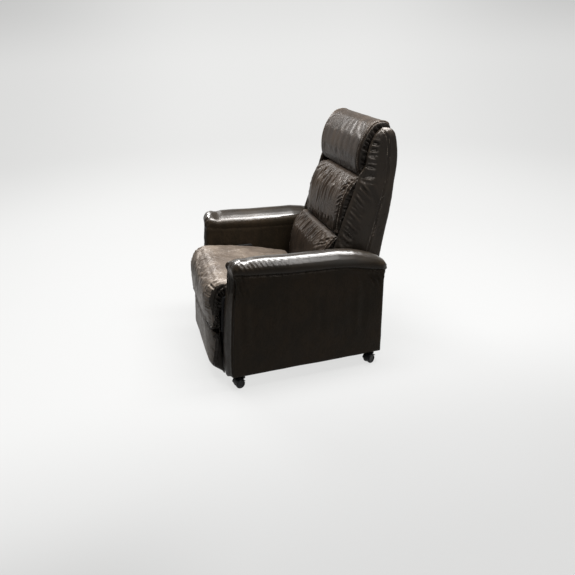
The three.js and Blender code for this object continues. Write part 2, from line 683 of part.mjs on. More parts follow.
function middleCushionOutline() {
  const bottom = LUMBAR_TOP + SEAM_GAP / 2;
  const top = HEAD_SEAM - SEAM_GAP / 2;
  const rise = top - bottom;
  const outline = new THREE.Shape();
  outline.moveTo(cushionRear(bottom), bottom);
  outline.lineTo(cushionRear(top), top);
  outline.lineTo(HIP.y + 84, top);
  spline(outline, [
    [HIP.y + 62, top - 0.02 * rise], [HIP.y + 28, top - 0.17 * rise], [HIP.y, bottom + 0.62 * rise],
    [HIP.y - 13, bottom + 0.41 * rise], [HIP.y - 24, bottom + 0.16 * rise], [HIP.y - 18, bottom],
  ]);
  return outline;
}

function lumbarCushionOutline() {
  const bottom = HIP.z + 29;
  const top = LUMBAR_TOP - SEAM_GAP / 2;
  const rise = top - bottom;
  const outline = new THREE.Shape();
  outline.moveTo(cushionRear(bottom), bottom);
  outline.lineTo(cushionRear(top), top);
  outline.lineTo(HIP.y - 19, top);
  spline(outline, [
    [HIP.y - 45, top - 0.07 * rise], [HIP.y - 76, top - 0.21 * rise], [HIP.y - 98, bottom + 0.55 * rise],
    [HIP.y - 112, bottom + 0.28 * rise], [HIP.y - 116, bottom + 0.1 * rise], [HIP.y - 106, bottom],
  ]);
  return outline;
}

for (const [name, outline] of [
  ['head_cushion', headCushionOutline()],
  ['middle_cushion', middleCushionOutline()],
  ['lumbar_cushion', lumbarCushionOutline()],
]) {
  add(name, across(outline, -HALF_BACK_CUSHION, HALF_BACK_CUSHION, { bevel: 5, curveSegments: 3 }), LEATHER);
}

// Each hinge leaf hangs under a bolster, turns on the hip bracket and holds the push rod's rear pin.
function hingeLeaf(side) {
  const flangeTop = SHELL_BOTTOM - REST_GAP;
  const plate = wrap([
    { ...HIP, r: HUB.hip },
    { y: HIP.y - 50, z: flangeTop - 4, r: 4 },
    { y: HIP.y + 40, z: flangeTop - 4, r: 4 },
  ]);
  const lever = wrap([{ ...HIP, r: HUB.hip - 2 }, { ...HIP_PIN, r: HUB.pin + 1 }]);
  const flange = boxOnSide(
    side, [HALF_RECESS, SWING_PLANE[1]], [HIP.y - 54, HIP.y + 44], [flangeTop - PLATE, flangeTop],
  );
  const stud = pin(side, HIP_PIN, PIVOT_RADIUS, ROD_STUD_END, SWING_PLANE[0] + 1);
  const eye = pin(side, HIP, HIP_PIVOT_RADIUS + PIVOT_CLEARANCE, SWING_PLANE[0] - 5, SWING_PLANE[1] + 5);
  return cut(
    join(onSide(side, plate, ...SWING_PLANE), onSide(side, lever, ...SWING_PLANE), flange, stud),
    eye,
  );
}

for (const [hand, side] of Object.entries(SIDES)) {
  add(`hinge_leaf_${hand}`, hingeLeaf(side), STEEL);
}

const TUBE_RADIUS = 12;
add('hip_tube', crossBar(HIP, TUBE_RADIUS, STUD_END - REST_GAP, 16), STEEL);

// A forked lever on the hip tube takes the gas spring.
const FORK = { gap: 10, plate: 5, hub: 17, eye: 11 };
function springLever() {
  const outer = FORK.gap + FORK.plate;
  const arm = wrap([{ ...HIP, r: FORK.hub }, { ...SPRING_PIN, r: FORK.eye }]);
  const parts = [
    across(arm, FORK.gap, outer),
    across(arm, -outer, -FORK.gap),
    crossBar(HIP, FORK.hub, outer, 16),
    crossBar(SPRING_PIN, PIVOT_RADIUS, outer + 3),
  ];
  return cut(join(...parts), crossBar(HIP, TUBE_RADIUS + REST_GAP, outer + 5, 16));
}
add('spring_lever', springLever(), STEEL);

// ---------------------------------------------------------------- push rods

// The rear eye runs on the hinge leaf. The front eye has play, because the linkage closes there.
const CLOSING_DROP = 2.4;
function pushRod(side) {
  const front = { y: CRANK_PIN.y, z: CRANK_PIN.z - CLOSING_DROP };
  const bar = wrap([{ ...front, r: ROD_HALF_HEIGHT - 1 }, { ...HIP_PIN, r: ROD_HALF_HEIGHT - 1 }]);
  const eyes = [
    onSide(side, wrap([{ ...front, r: 12.5 }]), ...ROD_PLANE),
    onSide(side, wrap([{ ...HIP_PIN, r: 11 }]), ...ROD_PLANE),
  ];
  const holes = [
    pin(side, front, PIVOT_RADIUS + OPEN_PIVOT_PLAY, ROD_PLANE[0] - 3, ROD_PLANE[1] + 3),
    pin(side, HIP_PIN, PIVOT_RADIUS + PIVOT_CLEARANCE, ROD_PLANE[0] - 3, ROD_PLANE[1] + 3),
  ];
  return cut(join(onSide(side, bar, ...ROD_PLANE), ...eyes), ...holes);
}

for (const [hand, side] of Object.entries(SIDES)) {
  add(`push_rod_${hand}`, pushRod(side), STEEL);
}

// ---------------------------------------------------------------- gas spring

// Two cheek plates on the middle crossrail hold the pin that the gas spring turns on.
function springAnchor() {
  const rear = MIDDLE_RAIL.rear + REST_GAP;
  const outer = FORK.gap + FORK.plate;
  const cheek = wrap([
    { ...SPRING_ANCHOR, r: 11 },
    { y: rear + 3, z: MIDDLE_RAIL_TOP - 6, r: 3 },
    { y: rear + 3, z: SPRING_ANCHOR.z - 6, r: 3 },
  ]);
  return join(
    across(cheek, FORK.gap, outer),
    across(cheek, -outer, -FORK.gap),
    box([-outer - 12, outer + 12], [rear, rear + PLATE], [SPRING_ANCHOR.z + 18, MIDDLE_RAIL_TOP - 3]),
    crossBar(SPRING_ANCHOR, PIVOT_RADIUS, outer + 3),
  );
}
add('spring_anchor', springAnchor(), STEEL);

// The gas spring lies along its own +X here; the group turns it onto the line between its pins.
const spring = new THREE.Group();
const SPRING_REACH = Math.hypot(SPRING_PIN.y - SPRING_ANCHOR.y, SPRING_PIN.z - SPRING_ANCHOR.z);
spring.position.set(0, SPRING_ANCHOR.y, SPRING_ANCHOR.z);
spring.rotation.x = Math.atan2(SPRING_PIN.z - SPRING_ANCHOR.z, SPRING_PIN.y - SPRING_ANCHOR.y);
chair.add(spring);

const GAS = { tube: 14, rod: 5, length: 190, wall: 8, engaged: 60, sag: 2.8 };

// A length of round bar along the spring's line.
function along(radius, from, to, segments = 14) {
  return new THREE.CylinderGeometry(radius, radius, to - from, segments).translate(0, (from + to) / 2, 0);
}

function gasRod() {
  const mouth = SPRING_REACH - FORK.eye - 3 - GAS.length;
  const half = FORK.gap - PLATE_GAP;
  const eye = new THREE.CylinderGeometry(11, 11, 2 * half, 16).rotateZ(Math.PI / 2);
  const hole = PIVOT_RADIUS + PIVOT_CLEARANCE;
  const bore = new THREE.CylinderGeometry(hole, hole, 60, 14).rotateZ(Math.PI / 2);
  const head = box([-half, half], [8, 34], [-9, 9]);
  return cut(join(eye, head, along(GAS.rod, 30, mouth + GAS.engaged)), bore);
}

function gasTube() {
  const end = SPRING_REACH - FORK.eye - 3;
  const mouth = end - GAS.length;
  const half = FORK.gap - PLATE_GAP;
  const eye = new THREE.CylinderGeometry(FORK.eye + 3, FORK.eye + 3, 2 * half, 16)
    .rotateZ(Math.PI / 2).translate(0, SPRING_REACH, -GAS.sag);
  const neck = box([-half, half], [end - 4, SPRING_REACH - 4], [-7, 7]);
  const play = PIVOT_RADIUS + GAS.sag + 1;
  const bore = new THREE.CylinderGeometry(play, play, 60, 16)
    .rotateZ(Math.PI / 2).translate(0, SPRING_REACH, -GAS.sag);
  return cut(
    join(along(GAS.tube, mouth, end, 18), neck, eye),
    bore,
    along(GAS.rod + PIVOT_CLEARANCE, mouth - 5, end - GAS.wall),
  );
}
add('gas_spring_rod', gasRod(), BRIGHT_STEEL, spring);
add('gas_spring_tube', gasTube(), STEEL, spring);

// ---------------------------------------------------------------- release lever

// The paddle stands in the gap beside the cushion, on the sitter's right, and is pulled up.
const LEVER_PIVOT = { y: -196, z: 392 };
function leverMount() {
  const plate = wrap([{ ...LEVER_PIVOT, r: 13 }, { y: LEVER_PIVOT.y + 34, z: LEVER_PIVOT.z - 4, r: 9 }]);
  return join(
    onSide(-1, plate, ...BRACKET_PLANE),
    pin(-1, LEVER_PIVOT, HUB.shoulder, SHOULDER_END, BRACKET_PLANE[0] + 1),
    pin(-1, LEVER_PIVOT, PIVOT_RADIUS, SWING_PLANE[0] - 2, BRACKET_PLANE[0] + 1),
  );
}

function releaseLever() {
  const shank = wrap([{ ...LEVER_PIVOT, r: 12 }, { y: LEVER_PIVOT.y + 8, z: LEVER_PIVOT.z + 42, r: 9 }]);
  const paddle = wrap([
    { y: LEVER_PIVOT.y + 2, z: LEVER_PIVOT.z + 44, r: 9 },
    { y: LEVER_PIVOT.y + 82, z: LEVER_PIVOT.z + 40, r: 11 },
  ]);
  const eye = pin(-1, LEVER_PIVOT, PIVOT_RADIUS + PIVOT_CLEARANCE, SWING_PLANE[0] - 9, SWING_PLANE[1] + 5);
  return cut(
    join(
      onSide(-1, shank, ...SWING_PLANE),
      onSide(-1, paddle, SWING_PLANE[0] - 2, SWING_PLANE[1] + 2, { bevel: 2 }),
    ),
    eye,
  );
}
add('lever_mount', leverMount(), STEEL);
add('release_lever', releaseLever(), BLACK_PLASTIC);

// ---------------------------------------------------------------- castors

// Where each castor trails when the chair stands still: 0 degrees is +X, 90 is +Y.
const TRAIL_BEARING = 90;
const CASTOR_TURN = { front_left: -75, front_right: -62, rear_left: -60, rear_right: 118 };
const HOOD = { clearance: 1.2, thickness: 2.6, web: 7 };
const COLLAR_TOP = PANEL_BOTTOM - 3 - REST_GAP;

function castorSleeve() {
  const bore = STEM.radius + STEM.clearance;
  const flange = SLEEVE_RADIUS + 6;
  const profile = [
    [bore, COLLAR_TOP + REST_GAP], [flange, COLLAR_TOP + REST_GAP], [flange, PANEL_BOTTOM - REST_GAP],
    [SLEEVE_RADIUS, PANEL_BOTTOM - REST_GAP], [SLEEVE_RADIUS, SLEEVE_TOP], [bore, SLEEVE_TOP],
    [bore, COLLAR_TOP + REST_GAP],
  ];
  return new THREE.LatheGeometry(profile.map(([r, z]) => new THREE.Vector2(r, z)), 12).rotateX(Math.PI / 2);
}

// The hood: a web between the wheels, a fender over them and the stem, in the wheel's own plane.
function castorHood() {
  const axle = { y: CASTOR.trail, z: CASTOR.wheel };
  const inner = CASTOR.wheel + HOOD.clearance;
  const outer = inner + HOOD.thickness;
  const from = radians(12);
  const to = radians(150);
  const fender = new THREE.Shape();
  fender.absarc(axle.y, axle.z, outer, from, to, false);
  fender.absarc(axle.y, axle.z, inner, to, from, true);
  const web = wrap([
    { ...axle, r: 8 }, { y: 2, z: outer + 14, r: 6 }, { y: axle.y, z: axle.z + outer - 5, r: 4.4 },
  ]);
  const halfWidth = CASTOR.split / 2 + CASTOR.width;
  const collar = new THREE.CylinderGeometry(11, 11, COLLAR_TOP - axle.z - inner + 4, 14)
    .rotateX(Math.PI / 2).translate(0, 0, (COLLAR_TOP + axle.z + inner - 4) / 2);
  const stem = new THREE.CylinderGeometry(STEM.radius, STEM.radius, STEM.length + 6, 14)
    .rotateX(Math.PI / 2).translate(0, 0, COLLAR_TOP + (STEM.length - 6) / 2);
  const wheelRoom = crossBar(axle, inner, 60, 18);
  const keep = solid(wheelRoom).subtract(solid(across(
    shapeOf([[-60, -20], [80, -20], [80, 80], [-60, 80]]), -HOOD.web / 2, HOOD.web / 2,
  )));
  const body = solid(across(fender, -halfWidth, halfWidth, { curveSegments: 5 }))
    .add(solid(across(web, -HOOD.web / 2, HOOD.web / 2)))
    .add(solid(collar))
    .subtract(keep)
    .add(solid(stem))
    .subtract(solid(crossBar(axle, 3 + PIVOT_CLEARANCE, 60)));
  return geometryOf(body);
}

// Both wheels and their axle are one turned piece.
function wheelPair() {
  const inner = CASTOR.split / 2;
  const outer = inner + CASTOR.width;
  const half = [
    [3, inner], [CASTOR.wheel - 1, inner], [CASTOR.wheel, inner + 2.5], [CASTOR.wheel, outer - 5],
    [CASTOR.wheel - 3, outer - 1], [CASTOR.wheel - 7, outer - 1], [CASTOR.wheel - 9, outer - 3.5],
    [0, outer - 3.5],
  ];
  const profile = [...half.toReversed().map(([r, x]) => [r, -x]), ...half];
  return new THREE.LatheGeometry(profile.map(([r, x]) => new THREE.Vector2(r, x)), 16)
    .rotateZ(-Math.PI / 2)
    .translate(0, CASTOR.trail, CASTOR.wheel);
}

for (const place of castorPlaces) {
  const castor = new THREE.Group();
  castor.position.set(place.x, place.y, 0);
  castor.rotation.z = radians(CASTOR_TURN[place.name] - TRAIL_BEARING);
  chair.add(castor);
  add(`castor_sleeve_${place.name}`, castorSleeve(), STEEL, castor);
  add(`castor_hood_${place.name}`, castorHood(), BLACK_PLASTIC, castor);
  add(`castor_wheels_${place.name}`, wheelPair(), BLACK_PLASTIC, castor);
}

export default chair;
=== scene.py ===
"""Recliner armchair: leather covers, stitching, frame finishes and the studio."""

import math
import random

import bmesh
import bpy
import numpy as np
from mathutils import Matrix, Vector
from mathutils.bvhtree import BVHTree


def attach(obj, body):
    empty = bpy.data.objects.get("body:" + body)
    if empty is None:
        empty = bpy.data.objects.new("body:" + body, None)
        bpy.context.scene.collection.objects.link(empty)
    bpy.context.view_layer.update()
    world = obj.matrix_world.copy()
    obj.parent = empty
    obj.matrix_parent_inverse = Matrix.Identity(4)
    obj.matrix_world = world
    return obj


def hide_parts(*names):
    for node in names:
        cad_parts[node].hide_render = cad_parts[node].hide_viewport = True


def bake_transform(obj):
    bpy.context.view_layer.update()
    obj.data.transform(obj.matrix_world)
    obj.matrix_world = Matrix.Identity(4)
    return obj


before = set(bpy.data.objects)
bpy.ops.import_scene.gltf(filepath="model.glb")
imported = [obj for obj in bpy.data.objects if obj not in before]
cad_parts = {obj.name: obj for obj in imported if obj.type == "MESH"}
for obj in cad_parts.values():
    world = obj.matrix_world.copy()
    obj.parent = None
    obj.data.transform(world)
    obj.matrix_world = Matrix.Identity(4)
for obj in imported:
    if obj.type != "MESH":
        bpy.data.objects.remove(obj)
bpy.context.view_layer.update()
scene = bpy.context.scene
MM = 0.001
SIDES = {"left": 1, "right": -1}


def assign(target, settings):
    for key, value in settings.items():
        setattr(target, key, value)


# ------------ shader maths


def operator(operation, flipped=False):
    """A method that adds a math node; flipped puts the other value first."""
    def method(wire, other):
        return wire.math(operation, *((other, wire) if flipped else (wire, other)))
    return method


class Wire:
    """The output of a material's node, with arithmetic that adds math nodes."""

    __add__ = __radd__ = operator("ADD")
    __sub__ = operator("SUBTRACT")
    __rsub__ = operator("SUBTRACT", flipped=True)
    __mul__ = __rmul__ = operator("MULTIPLY")
    __truediv__ = operator("DIVIDE")
    __rtruediv__ = operator("DIVIDE", flipped=True)
    __pow__ = operator("POWER")
    most = operator("MAXIMUM")

    def __init__(self, finish, socket):
        self.finish, self.socket = finish, socket

    def math(self, operation, *values):
        return self.finish.node("Math", {"operation": operation}, *values)

    def __abs__(self):
        return self.math("ABSOLUTE", self)

    def clear(self, low, high):
        """0 below low, 1 above high, smooth between."""
        return self.finish.node("MapRange", {"interpolation_type": "SMOOTHSTEP"}, Value=self,
                                From_Min=low, From_Max=high)


class Finish:
    """A material under construction."""

    def __init__(self, name):
        self.material = bpy.data.materials.new(name)
        self.material.use_nodes = True
        self.tree = self.material.node_tree
        self.tree.nodes.clear()

    def node(self, kind, settings, *values, output=None, **named):
        """Adds a node with its settings, feeds its inputs by order and by name, and returns its output."""
        made = self.tree.nodes.new("ShaderNode" + kind)
        assign(made, settings)
        for index, value in enumerate(values):
            self.feed(made.inputs[index], value)
        for key, value in named.items():
            self.feed(self.socket(made.inputs, key), value)
        return Wire(self, self.socket(made.outputs, output) if output else made.outputs[0])

    @staticmethod
    def socket(sockets, key):
        for socket in sockets:
            if socket.identifier == key or socket.name == key.replace("_", " "):
                return socket
        raise KeyError(key)

    def feed(self, socket, value):
        if isinstance(value, Wire):
            self.tree.links.new(value.socket, socket)
        elif socket.type == "RGBA" and len(value) == 3:
            socket.default_value = (*value, 1)
        else:
            socket.default_value = value

    def place(self, scale=(1, 1, 1), shift=(0, 0, 0)):
        """The piece's own coordinates, in metres times scale."""
        return self.node("Mapping", {}, Scale=scale, Location=shift,
                         Vector=self.node("TexCoord", {}, output="Object"))

    def along(self, at, direction):
        """How far a place lies in a direction."""
        return self.node("VectorMath", {"operation": "DOT_PRODUCT"}, at, direction, output="Value")

    def noise(self, at, scale, detail=3, roughness=0.5, distortion=0.0):
        return self.node("TexNoise", {}, Vector=at, Scale=scale, Detail=detail, Roughness=roughness,
                         Distortion=distortion)

    def cells(self, at, scale):
        return self.node("TexVoronoi", {"feature": "SMOOTH_F1"}, Vector=at, Scale=scale)

    def mix(self, factor, first, second):
        return self.node("Mix", {"data_type": "RGBA"}, output="Result_Color", Factor_Float=factor,
                         A_Color=first, B_Color=second)

    def bump(self, height, depth, strength=1.0, under=None):
        named = {"Normal": under} if under else {}
        return self.node("Bump", {}, Height=height, Distance=depth, Strength=strength, **named)

    def surface(self, **named):
        return self.done(self.node("BsdfPrincipled", {}, **named))

    def done(self, shader):
        self.tree.links.new(shader.socket, self.tree.nodes.new("ShaderNodeOutputMaterial").inputs["Surface"])
        return self.material


def tone(red, green, blue):
    """A colour given as on a paint card, 0 to 255, in linear light."""
    shares = (red / 255, green / 255, blue / 255)
    return tuple(c / 12.92 if c <= 0.04045 else ((c + 0.055) / 1.055) ** 2.4 for c in shares)


# the tint of what leather reflects
WARM = (1.0, 0.91, 0.83, 1)
# The arms' seam falls towards the back. The polish of their tops starts and is full this far above it.
SEAM_FALL = 0.1
SEAM_HEIGHT = 0.518
POLISH_FROM, POLISH_FULL = 0.032, 0.062


def leather(name, dark, light, gloss, shine, crumple, flow=(1, 1, 1), wax=0.0):
    """Aniline leather between two tones: pores, creases, worn colour and painted shade in the creases. flow
    stretches the creases.

    wax is the polish along the top of the arms.
    """
    finish = Finish(name)
    dark, light = tone(*dark), tone(*light)
    at = finish.place()
    along = finish.place(scale=flow)
    patches = finish.noise(at, 5.5, 4, 0.55)
    cloudy = finish.noise(along, 22, 5, 0.6, 0.4)
    wear = (patches * 0.6 + cloudy * 0.4).clear(0.36, 0.66)
    pores = finish.cells(at, 640)
    ridges = 1 - abs(finish.noise(along, 30, 5, 0.62, 0.9) - 0.5) * 2
    creased = ridges.clear(0.86, 1.0)
    fine = 1 - abs(finish.noise(along, 95, 4, 0.6, 0.5) - 0.5) * 2
    colour = finish.mix(wear, dark, light)
    # the creases are painted darker too: painted shade in the creases
    colour = finish.mix(creased * 0.35, colour, tuple(c * 0.55 for c in dark))
    relief = finish.bump(creased * -1 + fine * 0.25, 0.0016 * crumple, 0.75)
    relief = finish.bump(pores, 0.0005, 0.35, relief)
    if wax:
        above_seam = finish.along(at, (0, SEAM_FALL, 1)) - SEAM_HEIGHT
        wax = above_seam.clear(POLISH_FROM, POLISH_FULL) * wax
    return finish.surface(
        Base_Color=colour,
        Roughness=gloss + (cloudy - 0.5) * 0.22 + creased * 0.08,
        Specular_IOR_Level=shine,
        Specular_Tint=WARM,
        Coat_Weight=wax,
        Coat_Roughness=0.30,
        Normal=relief,
    )


def beech():
    finish = Finish("oiled_beech")
    at = finish.place()
    grain = finish.noise(finish.place(scale=(3, 60, 60)), 1.6, 5, 0.6, 0.6)
    flecks = finish.noise(finish.place(scale=(12, 260, 260)), 2.0, 2, 0.5)
    colour = finish.mix(grain.clear(0.3, 0.7), tone(196, 155, 108), tone(168, 122, 78))
    colour = finish.mix(flecks.clear(0.62, 0.74) * 0.5, colour, tone(120, 80, 48))
    relief = finish.bump(grain + finish.noise(at, 400, 2) * 0.3, 0.0004, 0.4)
    return finish.surface(Base_Color=colour, Roughness=0.5 + grain * 0.16, Normal=relief)


def steel(name, colour, roughness, metallic, worn):
    finish = Finish(name)
    at = finish.place()
    scuffs = finish.noise(finish.place(scale=(1, 1, 6)), 45, 5, 0.65, 0.3)
    rubbed = scuffs.clear(0.6, 0.78) * worn
    tint = finish.mix(rubbed, colour, tuple(min(1, c * 2.2 + 0.02) for c in colour))
    relief = finish.bump(finish.noise(at, 900, 2) + scuffs * 0.4, 0.0002, 0.35)
    return finish.surface(Base_Color=tint, Metallic=metallic, Roughness=roughness - rubbed * 0.12,
                          Normal=relief)


def plastic():
    finish = Finish("moulded_black_plastic")
    at = finish.place()
    dusty = finish.noise(at, 60, 4, 0.6)
    grain = finish.cells(at, 1400)
    colour = finish.mix(dusty.clear(0.45, 0.8), tone(12, 12, 13), tone(27, 27, 27))
    return finish.surface(Base_Color=colour, Roughness=0.3 + dusty * 0.2, Specular_IOR_Level=0.2,
                          Normal=finish.bump(grain, 0.0002, 0.3))


def thread():
    finish = Finish("waxed_thread")
    at = finish.place()
    twist = finish.noise(at, 700, 2)
    colour = finish.mix(twist, tone(66, 58, 50), tone(100, 90, 79))
    return finish.surface(Base_Color=colour, Roughness=0.6, Normal=finish.bump(twist, 0.0004, 0.5))


# painted shade: the chair's leather made dark and dull, for the side panels, the arms' inner faces below the
# roll and the rear panel, which turn from the lamps
SHADED_PANEL_LEATHER = leather("painted_shade_panel_leather", (22, 18, 12), (32, 25, 17), gloss=0.42, shine=0.10,
                        crumple=0.3, flow=(1, 1, 0.5))
PAD_LEATHER = leather("arm_pad_leather", (20, 16, 11), (32, 26, 19), gloss=0.27, shine=0.14,
                      crumple=0.08, flow=(1, 0.4, 1), wax=1.0)
SEAT_LEATHER = leather("seat_leather", (58, 50, 43), (84, 75, 66), gloss=0.44, shine=0.42,
                       crumple=0.5, flow=(1, 0.5, 1))
# painted shade: near-black leather for the cushions' ends, which lie in shade beside the arms and the
# bolsters
END_SHADE_LEATHER = leather("painted_end_shade_leather", (14, 12, 10), (26, 22, 18), gloss=0.36, shine=0.2,
                         crumple=0.5)
FOOT_LEATHER = leather("footrest_leather", (64, 57, 50), (82, 74, 66), gloss=0.42, shine=0.2,
                       crumple=0.4)
BACK_LEATHER = leather("back_cushion_leather", (26, 21, 17), (44, 36, 29), gloss=0.35, shine=0.13,
                       crumple=0.3, flow=(1.6, 1, 0.35))
SHELL_LEATHER = leather("shell_leather", (21, 17, 13), (36, 30, 24), gloss=0.30, shine=0.26,
                        crumple=0.2, flow=(1, 1, 0.6))
BEECH = beech()
PAINTED_STEEL = steel("painted_steel", tone(27, 27, 28), roughness=0.46, metallic=0.5, worn=0.4)
SPRING_STEEL = steel("spring_steel", tone(150, 152, 154), roughness=0.28, metallic=1.0, worn=0.3)
BLACK_PLASTIC = plastic()
THREAD = thread()

# ------------ mesh helpers


def vectors(items, key):
    found = np.empty(len(items) * 3)
    items.foreach_get(key, found)
    return found.reshape(-1, 3)


def points_of(mesh):
    return vectors(mesh.vertices, "co")


def move_points(mesh, points):
    mesh.vertices.foreach_set("co", np.asarray(points, float).ravel())
    mesh.update()


def new_piece(name, bm):
    mesh = bpy.data.meshes.new(name)
    bm.to_mesh(mesh)
    bm.free()
    piece = bpy.data.objects.new(name, mesh)
    scene.collection.objects.link(piece)
    return piece


def settle(piece):
    """Turns what the modifiers show into the piece's own mesh."""
    bpy.context.view_layer.update()
    shaped = piece.evaluated_get(bpy.context.evaluated_depsgraph_get())
    mesh = bpy.data.meshes.new_from_object(shaped)
    piece.modifiers.clear()
    piece.data = mesh
    return piece


def add_modifier(piece, kind, **settings):
    modifier = piece.modifiers.new(kind.title(), kind)
    assign(modifier, settings)
    return modifier


def smooth_line(points, steps=6, closed=False):
    """Points on a smooth curve through the given ones."""
    points = [Vector(p) for p in points]
    count = len(points)
    line = []
    for i in range(count if closed else count - 1):
        near = ((i + k) % count if closed else min(max(i + k, 0), count - 1) for k in (-1, 0, 1, 2))
        a, b, c, d = (points[k] for k in near)
        for step in range(steps):
            t = step / steps
            line.append(0.5 * (2 * b + (c - a) * t + (2 * a - 5 * b + 4 * c - d) * t**2
                               + (3 * b - a - 3 * c + d) * t**3))
    if not closed:
        line.append(points[-1])
    return line


def slab(name, outline, half_width, rim=0):
    """A solid from a side view, given as (y, z) in millimetres. rim is the bevel of its two end faces."""
    bm = bmesh.new()
    face = bm.faces.new([bm.verts.new((-half_width, y * MM, z * MM)) for y, z in outline])
    grown = bmesh.ops.extrude_face_region(bm, geom=[face])["geom"]
    moved = [v for v in grown if isinstance(v, bmesh.types.BMVert)]
    bmesh.ops.translate(bm, vec=(2 * half_width, 0, 0), verts=moved)
    bmesh.ops.recalc_face_normals(bm, faces=bm.faces)
    if rim:
        ends = [e for e in bm.edges if abs(e.verts[0].co.x - e.verts[1].co.x) < 1e-6]
        bmesh.ops.bevel(bm, geom=ends, offset=rim, offset_type="OFFSET", segments=2, profile=0.5,
                        affect="EDGES", clamp_overlap=True, material=-1)
    return new_piece(name, bm)


def copy_of(name, *nodes, swell=0.0):
    """A merged copy of CAD nodes, as the start of their cover. A swell closes the gaps between them."""
    bm = bmesh.new()
    for node in nodes:
        bm.from_mesh(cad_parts[node].data)
    bmesh.ops.remove_doubles(bm, verts=bm.verts, dist=1e-6)
    bm.normal_update()
    for vert in bm.verts:
        vert.co += vert.normal * swell
    return new_piece(name, bm)


def fine_skin(piece, grid, rounds):
    """An even skin of small faces, with its corners softened."""
    add_modifier(piece, "REMESH", mode="VOXEL", voxel_size=grid)
    add_modifier(piece, "SMOOTH", factor=0.5, iterations=rounds)
    return settle(piece)


def refined(piece):
    """The same skin in finer faces."""
    add_modifier(piece, "SUBSURF", levels=1, render_levels=1)
    return settle(piece)


def to_side_line(points, line, closed=True):
    """Distance of points from a line in the side view, and the way the nearest part of the line faces."""
    loop = np.array([tuple(p)[:2] for p in line]) * MM
    ends = np.roll(loop, -1, 0) if closed else loop[1:]
    turn = np.sign(np.sum(loop[:, 0] * np.roll(loop[:, 1], -1) - np.roll(loop[:, 0], -1) * loop[:, 1]))
    nearest = np.full(len(points), 1e9)
    facing = np.zeros((len(points), 2))
    for start, end in zip(loop, ends):
        run = end - start
        length = np.hypot(*run)
        if length < 1e-6:
            continue
        away = points[:, 1:] - start
        along = np.clip(away @ run / length**2, 0, 1)
        gap = np.linalg.norm(away - along[:, None] * run, axis=1)
        closer = gap < nearest
        nearest[closer] = gap[closer]
        facing[closer] = turn * np.array([run[1], -run[0]]) / length
    return nearest, facing


def round_ends(piece, outline, half_width, shape):
    """Pillows the ends: towards them the front and top sink inside the side view.

    shape is how far in the rounding reaches and how deep it gets, or gives both for each point.
    """
    points = points_of(piece.data)
    nearest, facing = to_side_line(points, outline)
    reach, depth = shape(points) if callable(shape) else shape
    t = np.clip((np.abs(points[:, 0]) - half_width + reach) / reach, 0, 1)
    sink = depth * (0.35 * t + 0.65 * (1 - np.sqrt(1 - 0.96 * t**2))) * np.clip(1 - nearest / 0.07, 0, 1)
    sink *= np.clip(np.maximum(-facing[:, 0], facing[:, 1]) * 1.5, 0, 1)
    points[:, 1:] -= facing * sink[:, None]
    move_points(piece.data, points)
    add_modifier(piece, "SMOOTH", factor=0.5, iterations=4)
    return settle(piece)


def cushion(name, outline, half_width, rim, grid, ends):
    """A cushion's leather, sewn to its side view. grid is the size of its faces, ends their rounding."""
    outline = smooth_line(outline, 3, closed=True)
    piece = fine_skin(slab(name, outline, half_width, rim), grid, 3)
    return round_ends(piece, outline, half_width, ends)


def stuff(piece, held, pressure, ease, bending, frames, cap):
    """Fills the cover: it swells and wrinkles from a little spare leather, the ease.

    held says how firmly each point is fixed, cap how far a point may move.
    """
    start = points_of(piece.data)
    group = piece.vertex_groups.new(name="held")
    weights = np.clip(held(start), 0, 1)
    for level in np.unique(np.round(weights, 1)):
        where = np.nonzero(np.round(weights, 1) == level)[0]
        group.add([int(i) for i in where], float(level), "REPLACE")
    cloth = add_modifier(piece, "CLOTH")
    assign(cloth.settings, {
        "quality": 5, "mass": 0.3, "tension_stiffness": 15, "compression_stiffness": 15,
        "shear_stiffness": 6, "bending_stiffness": bending, "use_pressure": True,
        "uniform_pressure_force": pressure, "shrink_min": -ease, "vertex_group_mass": "held",
    })
    cloth.settings.effector_weights.gravity = 0
    cloth.point_cache.frame_start, cloth.point_cache.frame_end = 1, frames
    for now in range(1, frames + 1):
        scene.frame_set(now)
    shaped = piece.evaluated_get(bpy.context.evaluated_depsgraph_get())
    shift = points_of(shaped.data) - start
    reach = np.linalg.norm(shift, axis=1, keepdims=True)
    piece.modifiers.clear()
    piece.vertex_groups.clear()
    move_points(piece.data, start + shift * np.minimum(1, cap / np.maximum(reach, 1e-9)))
    scene.frame_set(1)


def ramp(values, low, high):
    """0 below low, 1 above high, smooth between."""
    t = np.clip((values - low) / (high - low), 0, 1)
    return t * t * (3 - 2 * t)


def lumps(points, size, seed):
    """Smooth uneven swelling between -1 and 1, with humps about size metres apart."""
    at = points / size + seed * 17.31
    cell = np.floor(at).astype(np.int64)
    part = ramp(at - cell, 0, 1)
    total = np.zeros(len(points))
    for corner in np.ndindex(2, 2, 2):
        c = cell + corner
        mixed = (c[:, 0] * 73856093) ^ (c[:, 1] * 19349663) ^ (c[:, 2] * 83492791) ^ (seed * 2654435)
        mixed = ((mixed ^ (mixed >> 13)) * 1274126177) & 0x7FFFFFFF
        share = np.prod(np.where(corner, part, 1 - part), axis=1)
        total += share * (mixed / 0x3FFFFFFF - 1)
    return total


